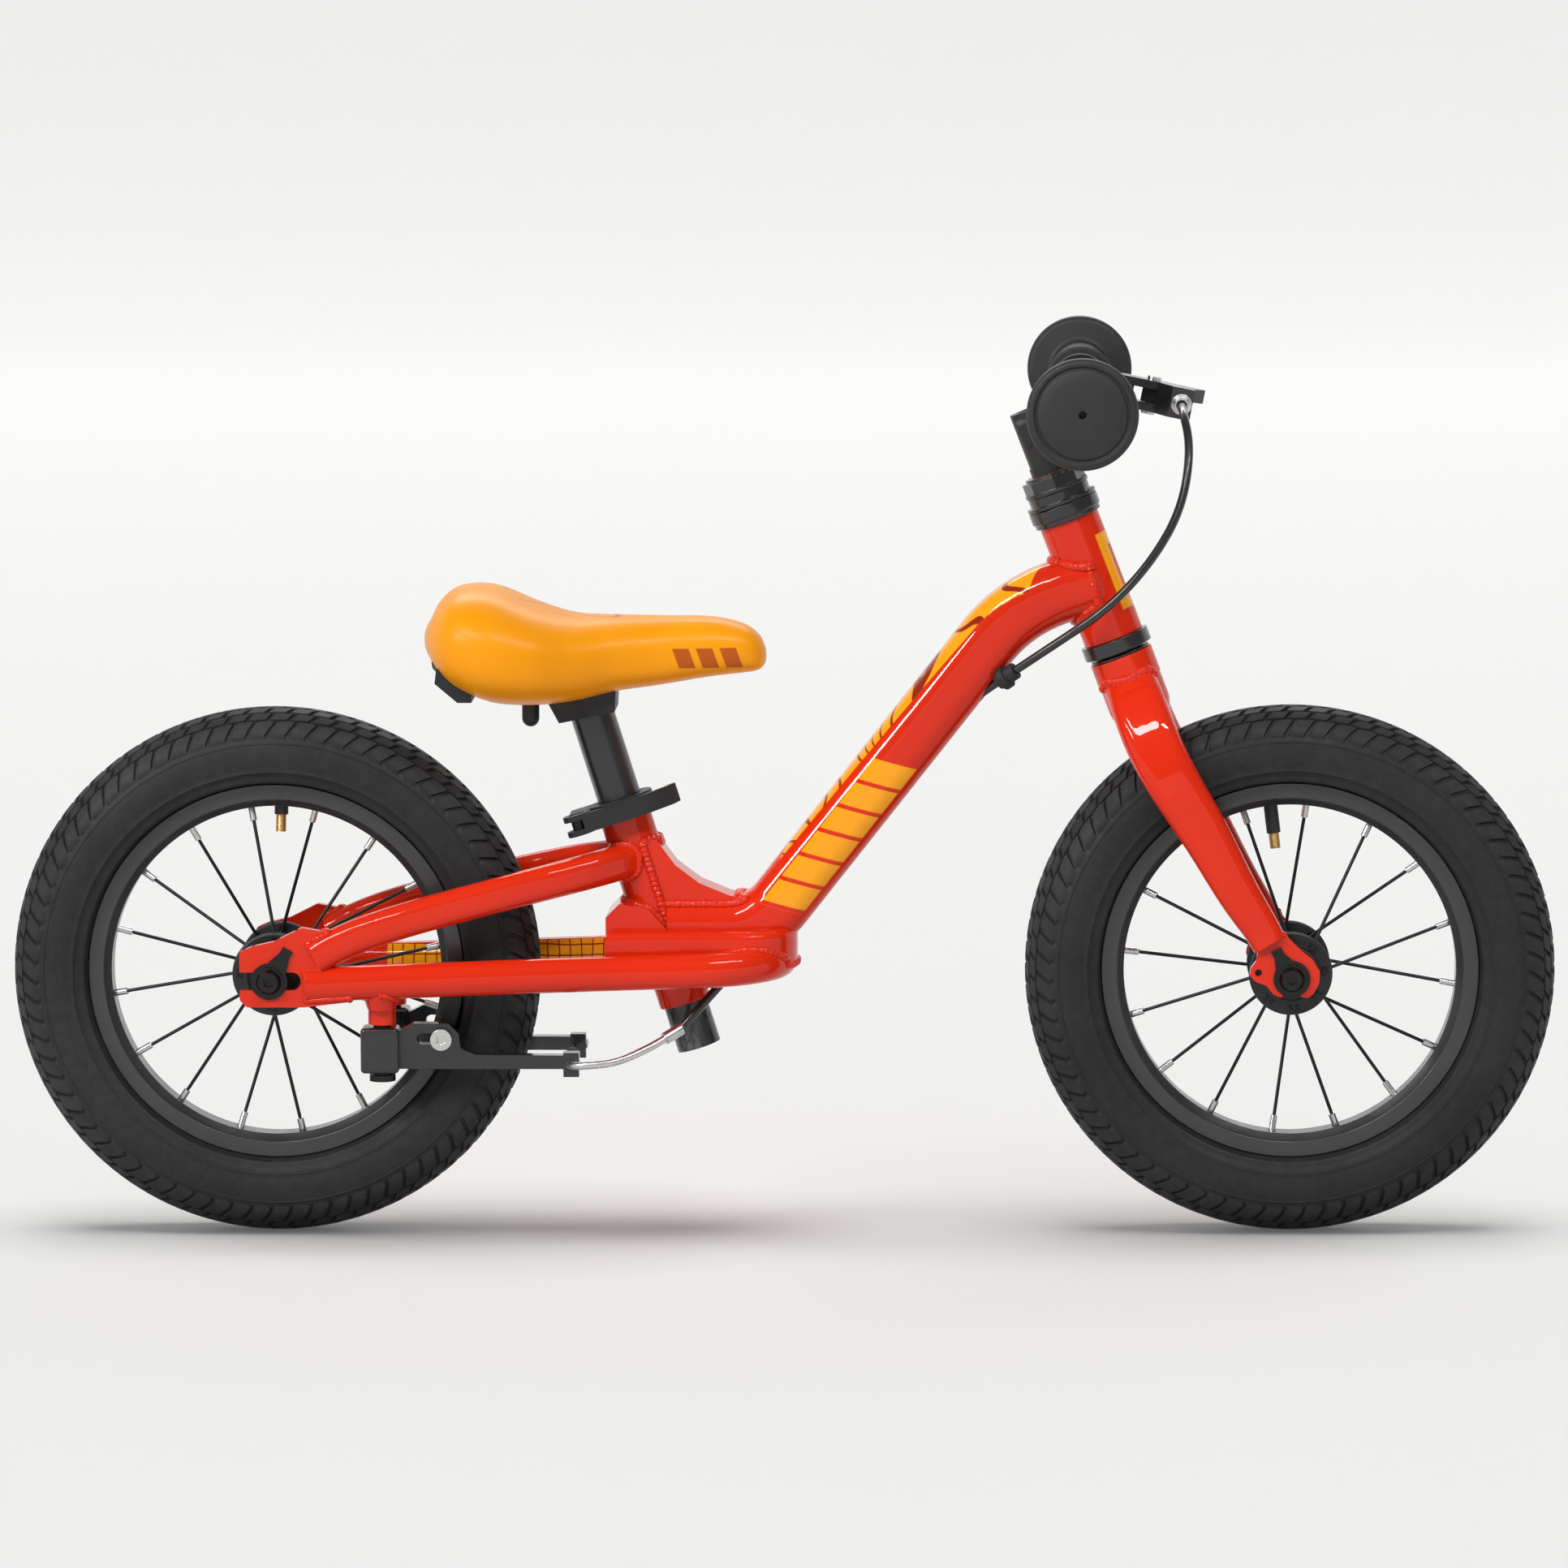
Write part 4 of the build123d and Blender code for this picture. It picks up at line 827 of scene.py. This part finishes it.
# weld seams
# two nodes that meet, the body they are on, the bead's radius, how many of the longest lines
SEAMS = [
    ("main_tube", "head_tube", "frame", 0.0030, 1),
    ("main_tube", "seat_tube", "frame", 0.0026, 1),
    ("frame_gusset", "seat_tube", "frame", 0.0027, 1),
    ("frame_gusset", "main_tube", "frame", 0.0026, 1),
    ("upper_stays", "seat_tube", "frame", 0.0024, 2),
    ("bottom_yoke", "seat_tube", "frame", 0.0026, 1),
    ("bottom_yoke", "lower_stay_loop", "frame", 0.0022, 3),
    ("rear_dropouts", "upper_stays", "frame", 0.0020, 2),
    ("rear_dropouts", "lower_stay_loop", "frame", 0.0016, 2),
    ("brake_bosses", "lower_stay_loop", "frame", 0.0017, 2),
    ("fork_blades", "fork_crown", "steering", 0.0024, 2),
    ("fork_dropouts", "fork_blades", "steering", 0.0015, 2),
]
for node_name, other, body, radius, count in SEAMS:
    for i, (length, closed, points) in enumerate(joint_lines(node_name, other)[:count]):
        seam = bead(f"weld_{node_name}_{other}_{i}", points, closed, radius, weld, body)

# ------------------------------------------------------------------ studio
FAR = 38.0                   # low walls this far off close the horizon for cameras behind the bike
FAR_WALL = 5.0
BACK = 7.0                   # where the sweep behind the bike starts to curve up
CURVE = 3.0
BACK_HEIGHT = 9.0
turns = [math.radians(a) for a in range(10, 91, 10)]
depths = [-FAR, -FAR, -BACK, BACK] + [BACK + CURVE * math.sin(a) for a in turns] + [BACK + CURVE]
heights = [FAR_WALL, 0.0, 0.0, 0.0] + [CURVE - CURVE * math.cos(a) for a in turns] + [BACK_HEIGHT]
floor_verts = []
for x, lift in ((-FAR, FAR_WALL), (-FAR, 0.0), (FAR, 0.0), (FAR, FAR_WALL)):
    for y, z in zip(depths, heights):
        floor_verts.append((x, y, z + lift))
n = len(depths)
floor_faces = []
for column in range(3):
    for i in range(n - 1):
        a = column * n + i
        floor_faces.append((a, a + 1, a + n + 1, a + n))
floor = make_object("studio_sweep", floor_verts, floor_faces, floor_material(), sharp=38)

world = bpy.data.worlds.new("studio")
bpy.context.scene.world = world
world.use_nodes = True
world.node_tree.nodes["Background"].inputs[0].default_value = (1.0, 1.0, 0.995, 1)
world.node_tree.nodes["Background"].inputs[1].default_value = 0.22

subject = bpy.data.collections.new("lit_subject")
bpy.context.scene.collection.children.link(subject)
for obj in list(bpy.context.scene.collection.objects):
    if obj.type == "MESH" and obj is not floor:
        subject.objects.link(obj)


def softbox(name, place, aim, size, power):
    light = bpy.data.lights.new(name, "AREA")
    light.shape = "RECTANGLE"
    light.size, light.size_y = size
    light.energy = power
    obj = bpy.data.objects.new(name, light)
    bpy.context.scene.collection.objects.link(obj)
    obj.location = place
    obj.rotation_euler = (Vector(aim) - Vector(place)).to_track_quat("-Z", "Y").to_euler()
    obj.light_linking.receiver_collection = subject
    return obj


softbox("key", (-1.4, -2.2, 2.6), (0.0, 0, 0.25), (1.7, 0.34), 57)
softbox("strip", (1.0, -1.6, 2.4), (0.1, 0, 0.3), (1.8, 0.11), 34)
softbox("rim", (0.0, 2.2, 2.2), (0.0, 0, 0.25), (2.4, 0.5), 26)
softbox("streak", (-2.0, -1.51, 1.47), (0.05, 0, 0.27), (1.1, 0.17), 27)

stage_only = bpy.data.collections.new("lit_stage")
bpy.context.scene.collection.children.link(stage_only)
stage_only.objects.link(floor)
overhead = bpy.data.objects.new("overhead", bpy.data.lights.new("overhead", "SUN"))
bpy.context.scene.collection.objects.link(overhead)
overhead.data.energy = SUN_SHARE * FLOOR_LIGHT * math.pi / 0.84
overhead.data.angle = math.radians(42)
overhead.light_linking.receiver_collection = stage_only

camera = bpy.data.objects.new("camera", bpy.data.cameras.new("camera"))
bpy.context.scene.collection.objects.link(camera)
bpy.context.scene.camera = camera
camera.location = (0.150, -4.750, 0.823)
aim = Vector((0.0013, 0.0, 0.2594)) - camera.location
level = aim.to_track_quat("-Z", "Y").to_matrix() @ Matrix.Rotation(math.radians(-0.29), 3, "Z")
camera.rotation_euler = level.to_euler()
camera.data.lens = 190.7
camera.data.sensor_width = 36.0
camera.data.clip_end = 100.0

bpy.context.scene.view_settings.view_transform = "Standard"
